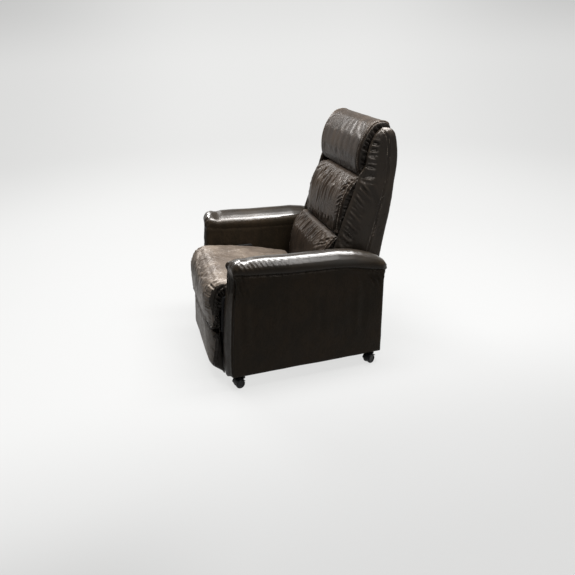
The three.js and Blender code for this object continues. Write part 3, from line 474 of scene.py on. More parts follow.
class Cover:
    """A finished cover while folds and seams are worked into its points.

    Places and the sizes of folds are in millimetres. Inside a loop over sides(), fold and gather take
    places for the left and work the right in mirror image.
    """

    def __init__(self, piece):
        self.piece = piece
        self.points = points_of(piece.data)
        self.out = vectors(piece.data.vertex_normals, "vector")
        self.rise = np.zeros(len(self.points))
        self.tree = None
        self.side = 1

    def sides(self):
        for self.side in SIDES.values():
            yield self.side
        self.side = 1

    def line(self, points, steps=6):
        """A smooth curve through the points, laid onto the cover, as (point, normal) in metres."""
        if self.tree is None:
            mesh = self.piece.data
            corners, faces = [v.co for v in mesh.vertices], [p.vertices for p in mesh.polygons]
            self.tree = BVHTree.FromPolygons(corners, faces)
        curve = smooth_line([Vector(p) * MM for p in points], steps)
        return [self.tree.find_nearest(p)[:2] for p in curve]

    def press(self, line, width, depth, ends=0.25, lip=0.35):
        """Presses a fold along a line of (point, normal); a negative depth raises a ridge."""
        width, depth = width * MM, depth * MM
        at = np.array([p for p, _ in line])
        low, high = at.min(0) - 3 * width, at.max(0) + 3 * width
        near = np.nonzero(np.all((self.points > low) & (self.points < high), axis=1))[0]
        if not len(near):
            return
        points = self.points[near]
        best = np.full(len(near), 1e9)
        place = np.zeros(len(near))
        reach = np.concatenate([[0], np.cumsum(np.linalg.norm(np.diff(at, axis=0), axis=1))])
        for i in range(len(at) - 1):
            run = at[i + 1] - at[i]
            t = np.clip((points - at[i]) @ run / max(run @ run, 1e-12), 0, 1)
            away = np.linalg.norm(points - at[i] - t[:, None] * run, axis=1)
            closer = away < best
            best[closer] = away[closer]
            place[closer] = (reach[i] + t * (reach[i + 1] - reach[i]))[closer]
        share = place / reach[-1]
        taper = ramp(share, -1e-6, ends) * (1 - ramp(share, 1 - ends, 1 + 1e-6)) if ends else 1.0
        across_it = best / width
        profile = np.exp(-(across_it**2)) - lip * np.exp(-((across_it - 1.7) ** 2) / 0.5)
        self.rise[near] -= depth * profile * taper

    def fold(self, points, *shape, **more):
        """Presses a fold along a curve through the points."""
        self.press(self.line(mirrored(points, self.side)), *shape, **more)

    def gather(self, first, last, count, width, depth, seed, bow=4, ends=0.3, lip=0.35, shorten=0.3):
        """Folds side by side that run from one curve to another, each a little different."""
        pick = random.Random(seed)
        start, end = (smooth_line(mirrored(points, self.side), 12) for points in (first, last))
        for i in range(count):
            share = min(max((i + 0.5 + pick.uniform(-0.4, 0.4)) / count, 0), 1)
            a, b = start[round(share * (len(start) - 1))], end[round(share * (len(end) - 1))]
            b = a.lerp(b, 1 - shorten * pick.random())
            middle = a.lerp(b, 0.5) + Vector([pick.uniform(-bow, bow) for _ in range(3)])
            self.press(self.line([a, middle, b], 5), width * pick.uniform(0.75, 1.3),
                       depth * pick.uniform(0.5, 1.3), ends, lip)

    def crumple(self, low, high, count, reach, width, depth, seed, lean, spread):
        """Short shallow creases strewn between two corners, all roughly along one direction."""
        pick = random.Random(seed)
        for _ in range(count):
            start = Vector([pick.uniform(a, b) for a, b in zip(low, high)])
            heading = (Vector(lean) + Vector([pick.uniform(-spread, spread) for _ in range(3)])).normalized()
            size = reach * pick.uniform(0.5, 1.5)
            bend = Vector([pick.uniform(-0.12, 0.12) * size for _ in range(3)])
            self.press(self.line([start, start + heading * size / 2 + bend, start + heading * size], 5),
                       width * pick.uniform(0.7, 1.4), depth * pick.uniform(0.4, 1.3), 0.4, 0.5)

    def done(self):
        move_points(self.piece.data, self.points + self.out * self.rise[:, None])
        return self.piece


def mirrored(points, side):
    return [(x * side, y, z) for x, y, z in points]


def across(y, z, *places):
    """Points side by side across the chair, at one depth and height."""
    return [(x, y, z) for x in places]


def beside(x, *places):
    """Points (y, z) of a side view, set at a distance from the chair's middle."""
    return [(x, y, z) for y, z in places]


def read_off(line, places):
    """The second value on a line of pairs in millimetres, where the first one is at the places in metres."""
    first, second = np.array(line).T * MM
    return np.interp(places, first, second)


def kept_within(piece, half_width):
    """Presses whatever swelled past the half width flat against it."""
    points = points_of(piece.data)
    points[:, 0] = np.clip(points[:, 0], -half_width, half_width)
    move_points(piece.data, points)


def darken_ends(piece, where):
    """Paints shade on the ends: beyond a distance from the middle, faces that turn sideways get the
    near-black leather.
    """
    piece.data.materials.append(END_SHADE_LEATHER)
    for face in piece.data.polygons:
        if abs(face.center.x) > where and abs(face.normal.x) > 0.45:
            face.material_index = 1


def offset_line(line, distance):
    """The line moved sideways on the cover."""
    moved = []
    for i, (point, normal) in enumerate(line):
        a, b = line[max(i - 1, 0)][0], line[min(i + 1, len(line) - 1)][0]
        forward = (b - a).normalized()
        moved.append((point + normal.cross(forward).normalized() * distance * MM, normal))
    return moved


def seam_rows(piece, seams, sides=(1, -1)):
    """Lines beside the seams of a finished cover; a seam is its points and the offsets of its rows."""
    finished = Cover(piece)
    rows = []
    for side in sides:
        for points, offsets in seams:
            line = finished.line(mirrored(points, side), 10)
            rows += [offset_line(line, offset) for offset in offsets]
    return rows


STITCH_PITCH = 0.0085
STITCH_LENGTH = 0.0060
THREAD_RADIUS = 0.0011


def stitches(piece, rows):
    """Rows of thread stitches on a cover of the back; each row is a line of (point, normal)."""
    bm = bmesh.new()
    size = Matrix.Diagonal((STITCH_LENGTH / 2, THREAD_RADIUS, THREAD_RADIUS, 1))
    for row in rows:
        at = [p for p, _ in row]
        spans = [(b - a).length for a, b in zip(at, at[1:])]
        total, travelled, index = sum(spans), 0.0, 0
        place = STITCH_PITCH / 2
        while place < total:
            while travelled + spans[index] < place:
                travelled += spans[index]
                index += 1
            point = at[index].lerp(at[index + 1], (place - travelled) / spans[index])
            forward = (at[index + 1] - at[index]).normalized()
            up = row[index][1]
            side = up.cross(forward).normalized()
            turn = Matrix((forward, side, forward.cross(side))).transposed().to_4x4()
            lifted = Matrix.Translation(point + up * THREAD_RADIUS * 0.4)
            bmesh.ops.create_uvsphere(bm, u_segments=6, v_segments=4, radius=1, matrix=lifted @ turn @ size)
            place += STITCH_PITCH
    finish_piece(new_piece(f"{piece.name}_stitching", bm), THREAD, "back")


def finish_piece(piece, material, body, nodes=(), smooth=True):
    """Gives a piece its material and says what it rides on and stands for."""
    piece.data.materials.clear()
    piece.data.materials.append(material)
    if smooth:
        piece.data.shade_smooth()
    if body:
        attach(piece, body)
    if nodes:
        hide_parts(*nodes)


# ------------ seat and footrest

# side views, as (y, z) in millimetres
SEAT = [
    (76, 330), (75, 378), (56, 396), (8, 408), (-110, 437), (-226, 459), (-300, 472), (-344, 479),
    (-378, 476), (-408, 456), (-426, 424), (-433, 390), (-436, 326), (-436, 280), (-435, 258),
    (-428, 251), (-404, 250), (-380, 250), (-376, 256), (-376, 290), (-375, 326), (-362, 350),
    (-335, 366), (-303, 372), (-200, 350), (-100, 322), (50, 286), (70, 292),
]
FOOTREST = [
    (-376, 22), (-376, 130), (-376, 236), (-380, 247), (-400, 249), (-424, 249), (-433, 242), (-436, 200),
    (-440, 130), (-443, 84), (-438, 60), (-424, 44), (-402, 26), (-388, 13), (-379, 13),
]
HALF_SEAT = 0.2435


def seat_end(points):
    """The seat's ends are rounded at the front, furthest in low down and at the left."""
    front = 1 - ramp(points[:, 1], -0.36, -0.22)
    low = 1 - ramp(points[:, 2], 0.26, 0.37)
    left = points[:, 0] > 0
    return 0.024 + front * (0.012 + low * np.where(left, 0.09, 0.03)), 0.018 + front * 0.020


def seat_held(points):
    """Underneath and behind, the leather is fixed; at the ends it gives a little."""
    y, z = points[:, 1] / MM, points[:, 2] / MM
    under = (y > -372) & (z < 349 - (y + 303) * 0.187 + 34)
    behind = (y > 66) | ((y > -384) & (z < 350))
    return np.where(under | behind | (z < 262), 1.0, np.where(np.abs(points[:, 0]) > 0.2405, 0.6, 0.0))


def seat_cover():
    """Seat and leg cushion under one leather."""
    piece = cushion("seat_and_leg_cushion", SEAT, HALF_SEAT, 0.008, 0.0058, seat_end)
    stuff(piece, seat_held, pressure=1.5, ease=0.022, bending=1.0, frames=18, cap=0.0035)
    kept_within(refined(piece), HALF_SEAT)
    cover = Cover(piece)
    cover.rise += 0.0010 * lumps(cover.points, 0.060, 21) + 0.0007 * lumps(cover.points, 0.016, 22)
    cover.fold(across(-366, 479, *range(-230, 231, 46)), 12, -2.2, ends=0.1, lip=0.5)
    # gathers over the front edge, longest in the middle, and short ones above the lower seam
    cover.gather([(-232, -384, 472), (-120, -386, 474), (0, -386, 474), (120, -386, 474), (222, -380, 466)],
                 [(-250, -440, 290), (-140, -440, 310), (-20, -440, 290), (90, -440, 310), (200, -425, 280)],
                 44, 5, 2, 25, bow=6, ends=0.4, lip=0.5, shorten=0.5)
    cover.gather(across(-318, 474, -228, -80, 80, 228), across(-434, 404, -236, -88, 72, 220),
                 38, 4.6, 1.6, 26, bow=5, ends=0.45, lip=0.5, shorten=0.4)
    cover.gather(across(-372, 478, -225, -75, 75, 225), across(-436, 400, -237, -87, 63, 213),
                 34, 5, 1.8, 27, lip=0.5, shorten=0.5)
    cover.gather(across(-440, 258, -225, 0, 215), across(-440, 300, -225, 0, 200),
                 26, 5.6, 2.6, 29, bow=3, lip=0.5, shorten=0.6)
    # puckers round both ends, between the rim of the end and its core
    rim = [(232, -318, 458), (234, -360, 446), (236, -386, 418), (236, -398, 360), (236, -404, 300),
           (236, -398, 262)]
    core = beside(244, (-318, 424), (-342, 412), (-356, 392), (-364, 346), (-370, 300), (-376, 266))
    for side in cover.sides():
        cover.gather(rim, core, 18, 5.2, 4.2, 33 + side, bow=3)
        cover.gather([(190, -392, 462), (196, -426, 400), (196, -430, 330), (190, -430, 276)],
                     [(238, -372, 440), (240, -392, 390), (240, -398, 322), (240, -398, 262)],
                     13, 5, 2.2, 37 + side, bow=3, ends=0.4)
        cover.fold(rim, 4.5, 3, 0.05, 0.6)
    cover.crumple((-220, -350, 480), (215, 20, 400), 60, 48, 4.2, 1.1, 39, (0.2, 1, 0), 0.5)
    cover.crumple((-220, -370, 480), (215, -200, 460), 70, 46, 3.8, 1.2, 41, (0.1, 1, 0), 0.35)
    cover.fold([(-68, -378, 490), (-105, -304, 477), (-131, -242, 467), (-155, -191, 458), (-182, -130, 448)],
               5, 2.6, 0.3, 0.7)
    cover.done()
    finish_piece(piece, SEAT_LEATHER, None, ["seat_cushion", "leg_cushion"])
    # painted shade on the seat's ends
    darken_ends(piece, 0.236)
    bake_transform(piece)


def footrest_end(points):
    """The footrest's ends are rounded towards its top, more at the left."""
    top = ramp(points[:, 2], 0.04, 0.25)
    left = points[:, 0] > 0
    return 0.050 + top * np.where(left, 0.080, 0.020), 0.020 + top * np.where(left, 0.026, 0.012)


def footrest_cover():
    """The lower padded panel, a little wider at its foot."""
    piece = refined(cushion("footrest_pad", FOOTREST, HALF_SEAT, 0.006, 0.005, footrest_end))
    points = points_of(piece.data)
    points[:, 0] *= 1 + 0.030 * (1 - ramp(points[:, 2], 0.06, 0.14))
    move_points(piece.data, points)
    cover = Cover(piece)
    uneven = 0.0016 * lumps(cover.points, 0.09, 3) + 0.0006 * lumps(cover.points, 0.03, 4)
    cover.rise += uneven * (cover.points[:, 1] < -0.40)
    cover.fold([(-225, -432, 243), (0, -436, 243), (150, -420, 243), (232, -398, 241)],
               3.2, -1.6, 0.02, 0.4)
    cover.gather([(-215, -438, 244), (0, -440, 244), (215, -420, 244)],
                 [(-215, -445, 205), (0, -445, 207), (215, -430, 205)],
                 20, 5.6, 1.4, 45, bow=3, lip=0.5, shorten=0.6)
    for side in cover.sides():
        cover.gather([(214, -416, 226), (220, -424, 140), (226, -432, 76)],
                     beside(244, (-386, 206), (-394, 130), (-400, 70)), 7, 6, 1.6, 47 + side)
        cover.fold([(241, -392, 236), (241, -404, 160), (241, -416, 100), (240, -424, 58)],
                   3.8, 2.2, 0.03, 0.5)
    cover.done()
    finish_piece(piece, FOOT_LEATHER, "footrest", ["footrest_panel"])
    # painted shade on the footrest's ends
    darken_ends(piece, 0.238)


# ------------ arms

PAD_SEAM = [(-330, 552), (-217, 541), (-86, 530), (20, 525), (134, 520), (203, 511), (285, 491), (348, 483)]
# creases over the front of the roll: where each starts, how far back it runs, how deep it is
ROLL_CREASES = (
    (-318, 26, 3.0), (-301, 38, 3.4), (-284, 40, 2.0), (-268, 46, 2.8), (-250, 44, 2.0), (-231, 50, 2.6),
    (-210, 44, 1.6), (-190, 54, 2.0), (-166, 50, 1.2), (-140, 56, 1.6), (-108, 50, 1.0), (-70, 56, 1.1),
    (-20, 50, 0.7),
)
# folds under the rear corner: place, width, depth
CORNER_FOLDS = (
    ([(373, 268, 490), (373, 290, 458), (373, 316, 408)], 7, 5.5),
    ([(373, 292, 485), (373, 318, 450), (372, 340, 408)], 7.5, 7.0),
    ([(373, 318, 480), (372, 336, 454), (370, 348, 426)], 6, 5.0),
    ([(373, 225, 500), (373, 240, 455), (373, 262, 400)], 10, 2.6),
)
# the pinched ear at the inner front corner, folds and ridges by turns, shallower on the right
EAR_FOLDS = (
    ([(262, -322, 590), (262, -338, 572), (268, -340, 540)], 6.5, 12, 0.3, 0.3),
    ([(268, -318, 600), (274, -334, 584), (284, -339, 548)], 5, -5, 0.3, 0.2),
    ([(280, -316, 602), (288, -331, 588), (298, -337, 552)], 6, 7, 0.3, 0.3),
    ([(300, -310, 606), (306, -324, 596), (314, -334, 566)], 6, -2.6, 0.35, 0.2),
    ([(316, -308, 606), (328, -322, 598), (340, -334, 566)], 5.5, 3.4, 0.35, 0.3),
)


def pull_into_shape(points, side):
    """What the leather does to the square corners of the panel and the pad."""
    x, y, z = np.abs(points[:, 0]), points[:, 1], points[:, 2]
    # the front face turns back towards the outside, and its foot hangs lower towards the seat
    front = 1 - ramp(y, -0.375, -0.30)
    inner = 1 - ramp(x, 0.266, 0.368)
    points[:, 1] += 0.017 * ramp(x, 0.300, 0.372) * front * (1 - ramp(z, 0.52, 0.60))
    points[:, 2] -= 0.034 * inner * (1 - ramp(y, -0.376, -0.362)) * (1 - ramp(z, 0.06, 0.12))
    points[:, 2] -= 0.006 * (1 - inner) * (1 - ramp(y, -0.376, -0.345)) * (1 - ramp(z, 0.06, 0.12))
    # the roll rises at its front end
    lift = 0.012 if side > 0 else 0.020
    points[:, 2] += ramp(z, 0.535, 0.585) * lift * (1 - ramp(y, -0.318, -0.258))
    # its tail is round in plan
    tail = np.clip((y - 0.305) / 0.066, 0, 1)
    corner = 1 - np.sqrt(1 - 0.98 * tail**2)
    above = ramp(z, 0.468, 0.482)
    widest = np.where(above > 0, 0.386 - 0.044 * corner * above, 0.4)
    narrowest = np.where(above > 0, 0.258 + 0.034 * corner * above, 0.2)
    points[:, 0] = np.sign(points[:, 0]) * np.clip(x, narrowest, widest)
    # the panel stands out a little under the tail
    points[:, 1] += 0.006 * ramp(y, 0.34, 0.36) * ramp(z, 0.452, 0.468) * (1 - ramp(z, 0.478, 0.492))
    return points


def arm_cover(hand, side):
    """Side panel and rolled arm pad under one cover; the seam between them shows outside only."""
    nodes = [f"side_panel_{hand}", f"arm_pad_{hand}"]
    piece = fine_skin(copy_of(f"arm_cover_{hand}", *nodes, swell=0.0006), 0.0042, 3)
    move_points(piece.data, pull_into_shape(points_of(piece.data), side))
    cover = Cover(piece)
    cover.side = side
    x, y, z = np.abs(cover.points[:, 0]), cover.points[:, 1], cover.points[:, 2]
    outer = ramp(x, 0.355, 0.37)
    below = 1 - ramp(z - read_off(PAD_SEAM, y), -0.03, 0.0)
    uneven = 0.0012 * lumps(cover.points, 0.11, 5) + 0.0008 * lumps(cover.points, 0.045, 6)
    cover.rise += outer * below * uneven
    cover.rise += (1 - below) * 0.0010 * lumps(cover.points, 0.09, 7)
    # the seam under the roll, and the one down the panel's front edge
    cover.fold(beside(372, *PAD_SEAM), 5.5, 5, ends=0.03, lip=0.25)
    cover.fold(beside(371, (-322, 528), (-334, 454), (-343, 380), (-354, 240), (-361, 110), (-362, 72)),
               4, 4.4, ends=0.02, lip=0.45)
    for start, reach, depth in ROLL_CREASES:
        cover.fold([(352, start - 4, 604), (366, start + 0.25 * reach, 594), (380, start + 0.6 * reach, 574),
                    (384, start + 0.85 * reach, 558), (380, start + reach, 546)],
                   5.8, 0.42 * depth, ends=0.45, lip=0.3)
    # pleats that fan out below the front corner, over the panel and the narrow front face
    cover.gather([(372, -334, 552), (373, -292, 548)], [(371, -350, 400), (372, -258, 440)],
                 8, 5, 6, 11 + side, bow=5)
    cover.gather([(268, -338, 560), (366, -330, 550)], [(280, -357, 430), (366, -342, 420)],
                 8, 5.4, 6.5, 23 + side, bow=5)
    for points, width, depth in CORNER_FOLDS:
        cover.fold(points, width, depth, ends=0.4, lip=0.55)
    for points, width, depth, ends, lip in EAR_FOLDS:
        cover.fold(points, width, depth * (1.0 if side > 0 else 0.45), ends, lip)
    # long soft folds down the panel
    for place, depth in ((-298, 2.4), (-252, 1.5), (-120, 1.2), (60, 1.4), (205, 1.2), (262, 1.8)):
        cover.fold(beside(372, (place, 500), (place - 8, 330), (place - 6, 130)),
                   16, depth, ends=0.4, lip=0.4)
    cover.done()
    finish_piece(piece, PAD_LEATHER, "chassis", nodes)
    # the faces below the seam outside and below the roll inside get painted shade
    piece.data.materials.append(SHADED_PANEL_LEATHER)
    lay_painted_shade_leather(piece)


def lay_painted_shade_leather(piece):
    """The dark, dull leather of painted shade lies below the seam outside and below the roll inside."""
    for face in piece.data.polygons:
        at = face.center
        inside = abs(at.x) < 0.290 and at.y > -0.325
        if at.z < (0.566 if inside else read_off(PAD_SEAM, at.y) + 0.0015):
            face.material_index = 1


# ------------ back

# side views, as (y, z) in millimetres
FRONT_OF_BOLSTER = [
    (145, 456), (164, 561), (207, 687), (252, 806), (281, 900), (288, 960), (313, 1030), (339, 1061),
]
BOLSTER_SEAM = [
    (374, 1066), (392, 1028), (398, 984), (399, 878), (382, 792), (357, 682), (341, 614), (318, 530),
    (296, 450),
]
REAR_SEAM = [(218, 392, 520), (218, 420, 660), (218, 438, 800), (218, 445, 930), (214, 436, 1030)]
SEAM_ACROSS = [(-214, 436, 1032), (-100, 437, 1036), (0, 437, 1038), (100, 437, 1036), (214, 436, 1032)]
# the bolster's pinch beside the gap under the head pillow: places, width, depth, ends, lip
BOLSTER_PINCH = (
    ([(229, 282, 868), (238, 288, 869), (252, 310, 871), (257, 352, 874)], 9, 7.5, 0.35, 0.1),
    ([(230, 276, 858), (244, 284, 856), (257, 318, 846), (257, 352, 838)], 5.6, 3.4, 0.35, 0.2),
    ([(230, 290, 884), (244, 300, 888), (257, 330, 890), (257, 356, 888)], 5.6, 3, 0.35, 0.2),
    ([(254, 280, 862), (257, 318, 822), (257, 350, 762), (257, 366, 715)], 11, 3.2, 0.4, 0.5),
)
HEAD = [
    (337, 869), (345, 950), (356, 1050), (360, 1059), (416, 1059), (421, 1070), (413, 1084), (398, 1093),
    (371, 1097), (338, 1086), (307, 1052), (286, 1012), (273, 964), (270, 914), (279, 884), (290, 869),
]
MIDDLE = [
    (309, 612), (322, 740), (336, 866), (290, 867), (267, 861), (233, 826), (205, 773), (191, 718),
    (180, 655), (186, 612),
]
LUMBAR = [
    (283, 375), (295, 490), (308, 610), (186, 610), (158, 595), (127, 561), (106, 504), (92, 440), (88, 396),
    (98, 375),
]
SOFT_FILLING = {"pressure": 2.0, "ease": 0.022, "bending": 1.5, "cap": 0.005, "frames": 16}
HALF_PILLOW = 0.225
WIDEST_PILLOW = 0.2262


def roll_bolsters(points):
    """Sets the bolsters' front back beside the head pillow and rolls their sides over."""
    x, y, z = np.abs(points[:, 0]), points[:, 1], points[:, 2]
    front = read_off([(b, a) for a, b in FRONT_OF_BOLSTER], z)
    bolster = ramp(x, 0.222, 0.230)
    points[:, 1] += bolster * 0.020 * ramp(z, 0.872, 0.925) * (1 - ramp(y - front, 0.0, 0.055))
    points[:, 1] += 0.006 * ramp(y, 0.36, 0.40) * ramp(z, 0.83, 0.93)
    gap, _ = to_side_line(points, FRONT_OF_BOLSTER + [(360, 1072), (410, 1072)], closed=False)
    roll = np.clip(gap / (0.090 - 0.045 * ramp(z, 1.00, 1.06)), 0, 1)
    limit = np.maximum(0.2585 - 0.026 * (1 - np.sqrt(1 - (1 - roll) ** 2)), 0.2275)
    points[:, 0] = np.sign(points[:, 0]) * np.minimum(x, np.where(x > 0.227, limit, x))
    return points


def shell_cover():
    """The back's outer cover, gathered along the front of both bolsters and sewn down near its rear edge."""
    piece = fine_skin(copy_of("back_cover", "back_shell"), 0.0045, 4)
    move_points(piece.data, roll_bolsters(points_of(piece.data)))
    add_modifier(piece, "SMOOTH", factor=0.5, iterations=6)
    cover = Cover(settle(piece))
    side_face = ramp(np.abs(cover.points[:, 0]), 0.240, 0.254)
    cover.rise += side_face * 0.0010 * lumps(cover.points, 0.06, 8)
    behind = ramp(cover.out[:, 1], 0.3, 0.8)
    cover.rise += behind * 0.0018 * lumps(cover.points * (1, 1, 0.5), 0.10, 9)
    for side in cover.sides():
        cover.fold(beside(256, *BOLSTER_SEAM), 4.6, 4.2, ends=0.02, lip=0.6)
        cover.gather(beside(246, (284, 882), (286, 930), (296, 985), (312, 1022)),
                     beside(257, (346, 872), (352, 918), (360, 975), (366, 1010)),
                     11, 6, 6.2, 31 + side)
        for points, width, depth, ends, lip in BOLSTER_PINCH:
            cover.fold(points, width, depth, ends, lip)
        cover.gather(beside(246, (276, 850), (250, 784), (218, 705), (192, 636)),
                     beside(257, (336, 782), (310, 705), (284, 628), (258, 565)),
                     15, 6.2, 6.4, 43 + side)
        cover.gather(beside(246, (186, 620), (166, 552), (152, 490)),
                     beside(257, (240, 570), (214, 505), (196, 450)), 6, 6.8, 4.4, 57 + side)
        cover.gather([(232, 350, 1067), (250, 352, 1067)], [(238, 398, 1066), (254, 396, 1050)],
                     3, 4.5, 2.4, 61 + side)
        cover.fold(REAR_SEAM, 4, 2.4, ends=0.02, lip=0.5)
    cover.fold(SEAM_ACROSS, 4, 2.4, 0.01, 0.5)
    cover.done()
    finish_piece(piece, SHELL_LEATHER, "back", ["back_shell"])
    rows = seam_rows(piece, [(beside(257, *BOLSTER_SEAM), (-5.2, 5.2)), (REAR_SEAM, (4.5,))])
    stitches(piece, rows + seam_rows(piece, [(SEAM_ACROSS, (4.5,))], sides=(1,)))


def pillow_held(low, high, top_free=False):
    """The leather is sewn down at the pillow's ends and lies on the frame behind."""
    def held(points):
        y, z = points[:, 1] / MM, points[:, 2] / MM
        frame_behind = 279.2 + (z - 345) * 0.1095
        rear = 1 - ramp(frame_behind - y, 14, 34)
        lower = 1 - ramp(z - low, 4, 16)
        upper = 0 if top_free else 1 - ramp(high - z, 4, 16)
        return np.maximum(np.maximum(rear, lower), upper)
    return held


def stuffed_pillow(name, outline, ends, held, **filling):
    """A pillow's leather, stuffed and ready for its folds."""
    piece = cushion(name, outline, HALF_PILLOW, 0.006, 0.0056, ends)
    stuff(piece, held, **filling)
    kept_within(refined(piece), WIDEST_PILLOW)
    return Cover(piece)


def rim_folds(cover, seam):
    """A raised seam round one end of a pillow, between two folds."""
    line = cover.line(mirrored(seam, cover.side), 8)
    for offset in (-5.5, 5.5):
        cover.press(offset_line(line, offset), 3.6, 4.2, 0.02, 0.3)
    cover.press(line, 4, -1.6, 0.02, 0)


def sew_up(cover, node, seam):
    """Finishes a pillow: its leather, painted shade on its ends and the stitches round them."""
    piece = cover.done()
    finish_piece(piece, BACK_LEATHER, "back", [node])
    darken_ends(piece, 0.2215)
    stitches(piece, seam_rows(piece, [(seam, (-0.5,))]))


def head_pillow():
    cover = stuffed_pillow("head_pillow", HEAD, (0.014, 0.008), pillow_held(869, 1097, True),
                           pressure=1.2, ease=0.008, bending=3.0, cap=0.002, frames=14)
    cover.rise += 0.0007 * lumps(cover.points * (1, 1, 0.35), 0.035, 12)
    seam = [(216, 286, 878), (217, 273, 914), (217, 275, 964), (217, 288, 1012), (217, 309, 1052),
            (216, 338, 1084), (214, 371, 1095), (213, 400, 1092), (212, 419, 1076)]
    for side in cover.sides():
        rim_folds(cover, seam)
        cover.gather(beside(226, (288, 905), (286, 960), (302, 1016), (332, 1060), (368, 1084)),
                     beside(226, (340, 875), (336, 930), (346, 975), (362, 1010), (396, 1040)),
                     15, 4.6, 4.2, 71 + side)
    for x, low, high in ((-170, 900, 1075), (-120, 890, 1060), (-64, 900, 1080), (-10, 885, 1070),
                         (46, 900, 1082), (104, 888, 1060), (158, 905, 1078)):
        cover.fold([(x, 268, low), (x + 4, 268, (low + high) / 2), (x - 3, 320, high)], 14, 0.6, 0.4, 0.3)
    cover.gather(across(284, 872, -212, 0, 212), [(-205, 268, 905), (0, 268, 912), (205, 268, 905)],
                 22, 5.5, 1.2, 83, lip=0.4)
    sew_up(cover, "head_cushion", seam)


def middle_ends(points):
    """The middle pillow is crushed more at its right end."""
    right = points[:, 0] < 0
    return np.where(right, 0.080, 0.016), np.where(right, 0.030, 0.009)


def middle_pillow():
    cover = stuffed_pillow("middle_pillow", MIDDLE, middle_ends, pillow_held(612, 867), **SOFT_FILLING)
    cover.rise += 0.0008 * lumps(cover.points * (1, 1, 0.3), 0.03, 14)
    cover.gather(across(272, 862, -214, -110, 0, 110, 214),
                 [(-205, 186, 660), (-100, 186, 660), (0, 186, 660), (110, 186, 668), (196, 196, 720)],
                 26, 6.2, 3, 91, bow=5, ends=0.35, lip=0.5, shorten=0.6)
    cover.gather(across(182, 618, -205, 0, 205), [(-200, 186, 700), (0, 186, 690), (200, 186, 700)],
                 20, 5.6, 2.2, 97, lip=0.5, shorten=0.5)
    seam = [(214, 284, 862), (216, 264, 857), (217, 234, 826), (217, 207, 773), (217, 193, 718),
            (217, 183, 660), (215, 186, 620)]
    for side in cover.sides():
        rim_folds(cover, seam)
        cover.gather(beside(212, (262, 854), (232, 824), (205, 774), (190, 716)),
                     [(170, 234, 838), (168, 212, 786), (172, 198, 740), (180, 190, 700)],
                     12, 4.8, 3.2, 101 + side, lip=0.5)
        cover.gather(beside(226, (262, 846), (218, 780), (196, 700), (190, 640)),
                     beside(226, (300, 826), (256, 764), (232, 690), (226, 630)),
                     12, 4.6, 3.6, 105 + side)
    sew_up(cover, "middle_cushion", seam)


def lumbar_pillow():
    cover = stuffed_pillow("lumbar_pillow", LUMBAR, (0.016, 0.009), pillow_held(375, 610), **SOFT_FILLING)
    cover.rise += 0.0008 * lumps(cover.points * (1, 1, 0.5), 0.035, 16)
    cover.gather(across(172, 604, -200, 0, 210), [(-214, 104, 500), (-40, 104, 490), (150, 110, 520)],
                 26, 5.6, 2.6, 111, bow=6, lip=0.5, shorten=0.6)
    cover.gather([(215, 165, 600), (215, 120, 545)], [(110, 120, 560), (90, 98, 480)],
                 9, 5.8, 2.6, 113, bow=6, lip=0.5, shorten=0.5)
    seam = [(214, 182, 606), (216, 160, 592), (217, 129, 558), (217, 108, 503), (217, 94, 440),
            (217, 90, 400)]
    for side in cover.sides():
        rim_folds(cover, seam)
        cover.gather(beside(226, (166, 588), (130, 540), (112, 470)),
                     beside(226, (200, 566), (168, 520), (150, 450)), 8, 4.6, 3.6, 117 + side)
    sew_up(cover, "lumbar_cushion", seam)


# ------------ the covers, in order

seat_cover()
footrest_cover()
for hand, side in SIDES.items():
    arm_cover(hand, side)
shell_cover()
head_pillow()
middle_pillow()
lumbar_pillow()
# the rear panel has the same dark, dull leather of painted shade
rear_panel = fine_skin(copy_of("base_rear_panel", "rear_cover"), 0.005, 2)
finish_piece(rear_panel, SHADED_PANEL_LEATHER, "chassis", ["rear_cover"])

# a thin black board under the base rails closes the base from below
UNDER_RAILS = [(-329, 71.5), (330, 71.5), (330, 74.8), (-329, 74.8)]
finish_piece(slab("bottom_board", UNDER_RAILS, 0.261), BLACK_PLASTIC, "chassis",
             smooth=False)

# ------------ frame, links and castors

FINISHES = {
    BEECH: ("seat_rail", "seat_crossrail", "base_rail", "back_post", "back_crossbar"),
    # the footrest board gets the black plastic as painted shade, so the gap beside the seat's ends reads dark
    BLACK_PLASTIC: ("castor_hood", "castor_wheels", "release_lever", "footrest_board"),
    SPRING_STEEL: ("seat_spring", "gas_spring_rod"),
}


def finish_of(name):
    for material, starts in FINISHES.items():
        if name.startswith(starts):
            return material
    return PAINTED_STEEL


for name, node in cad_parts.items():
    if not node.hide_render:
        for material_slot in node.material_slots:
            material_slot.material = finish_of(name)

# ------------ studio

# the floor is a disc; its edge curves up into a wall
FLOOR_RADIUS = 5.5
CURVE_RADIUS = 2.0
CURVE_STEPS = 8
WALL_HEIGHT = 3.0


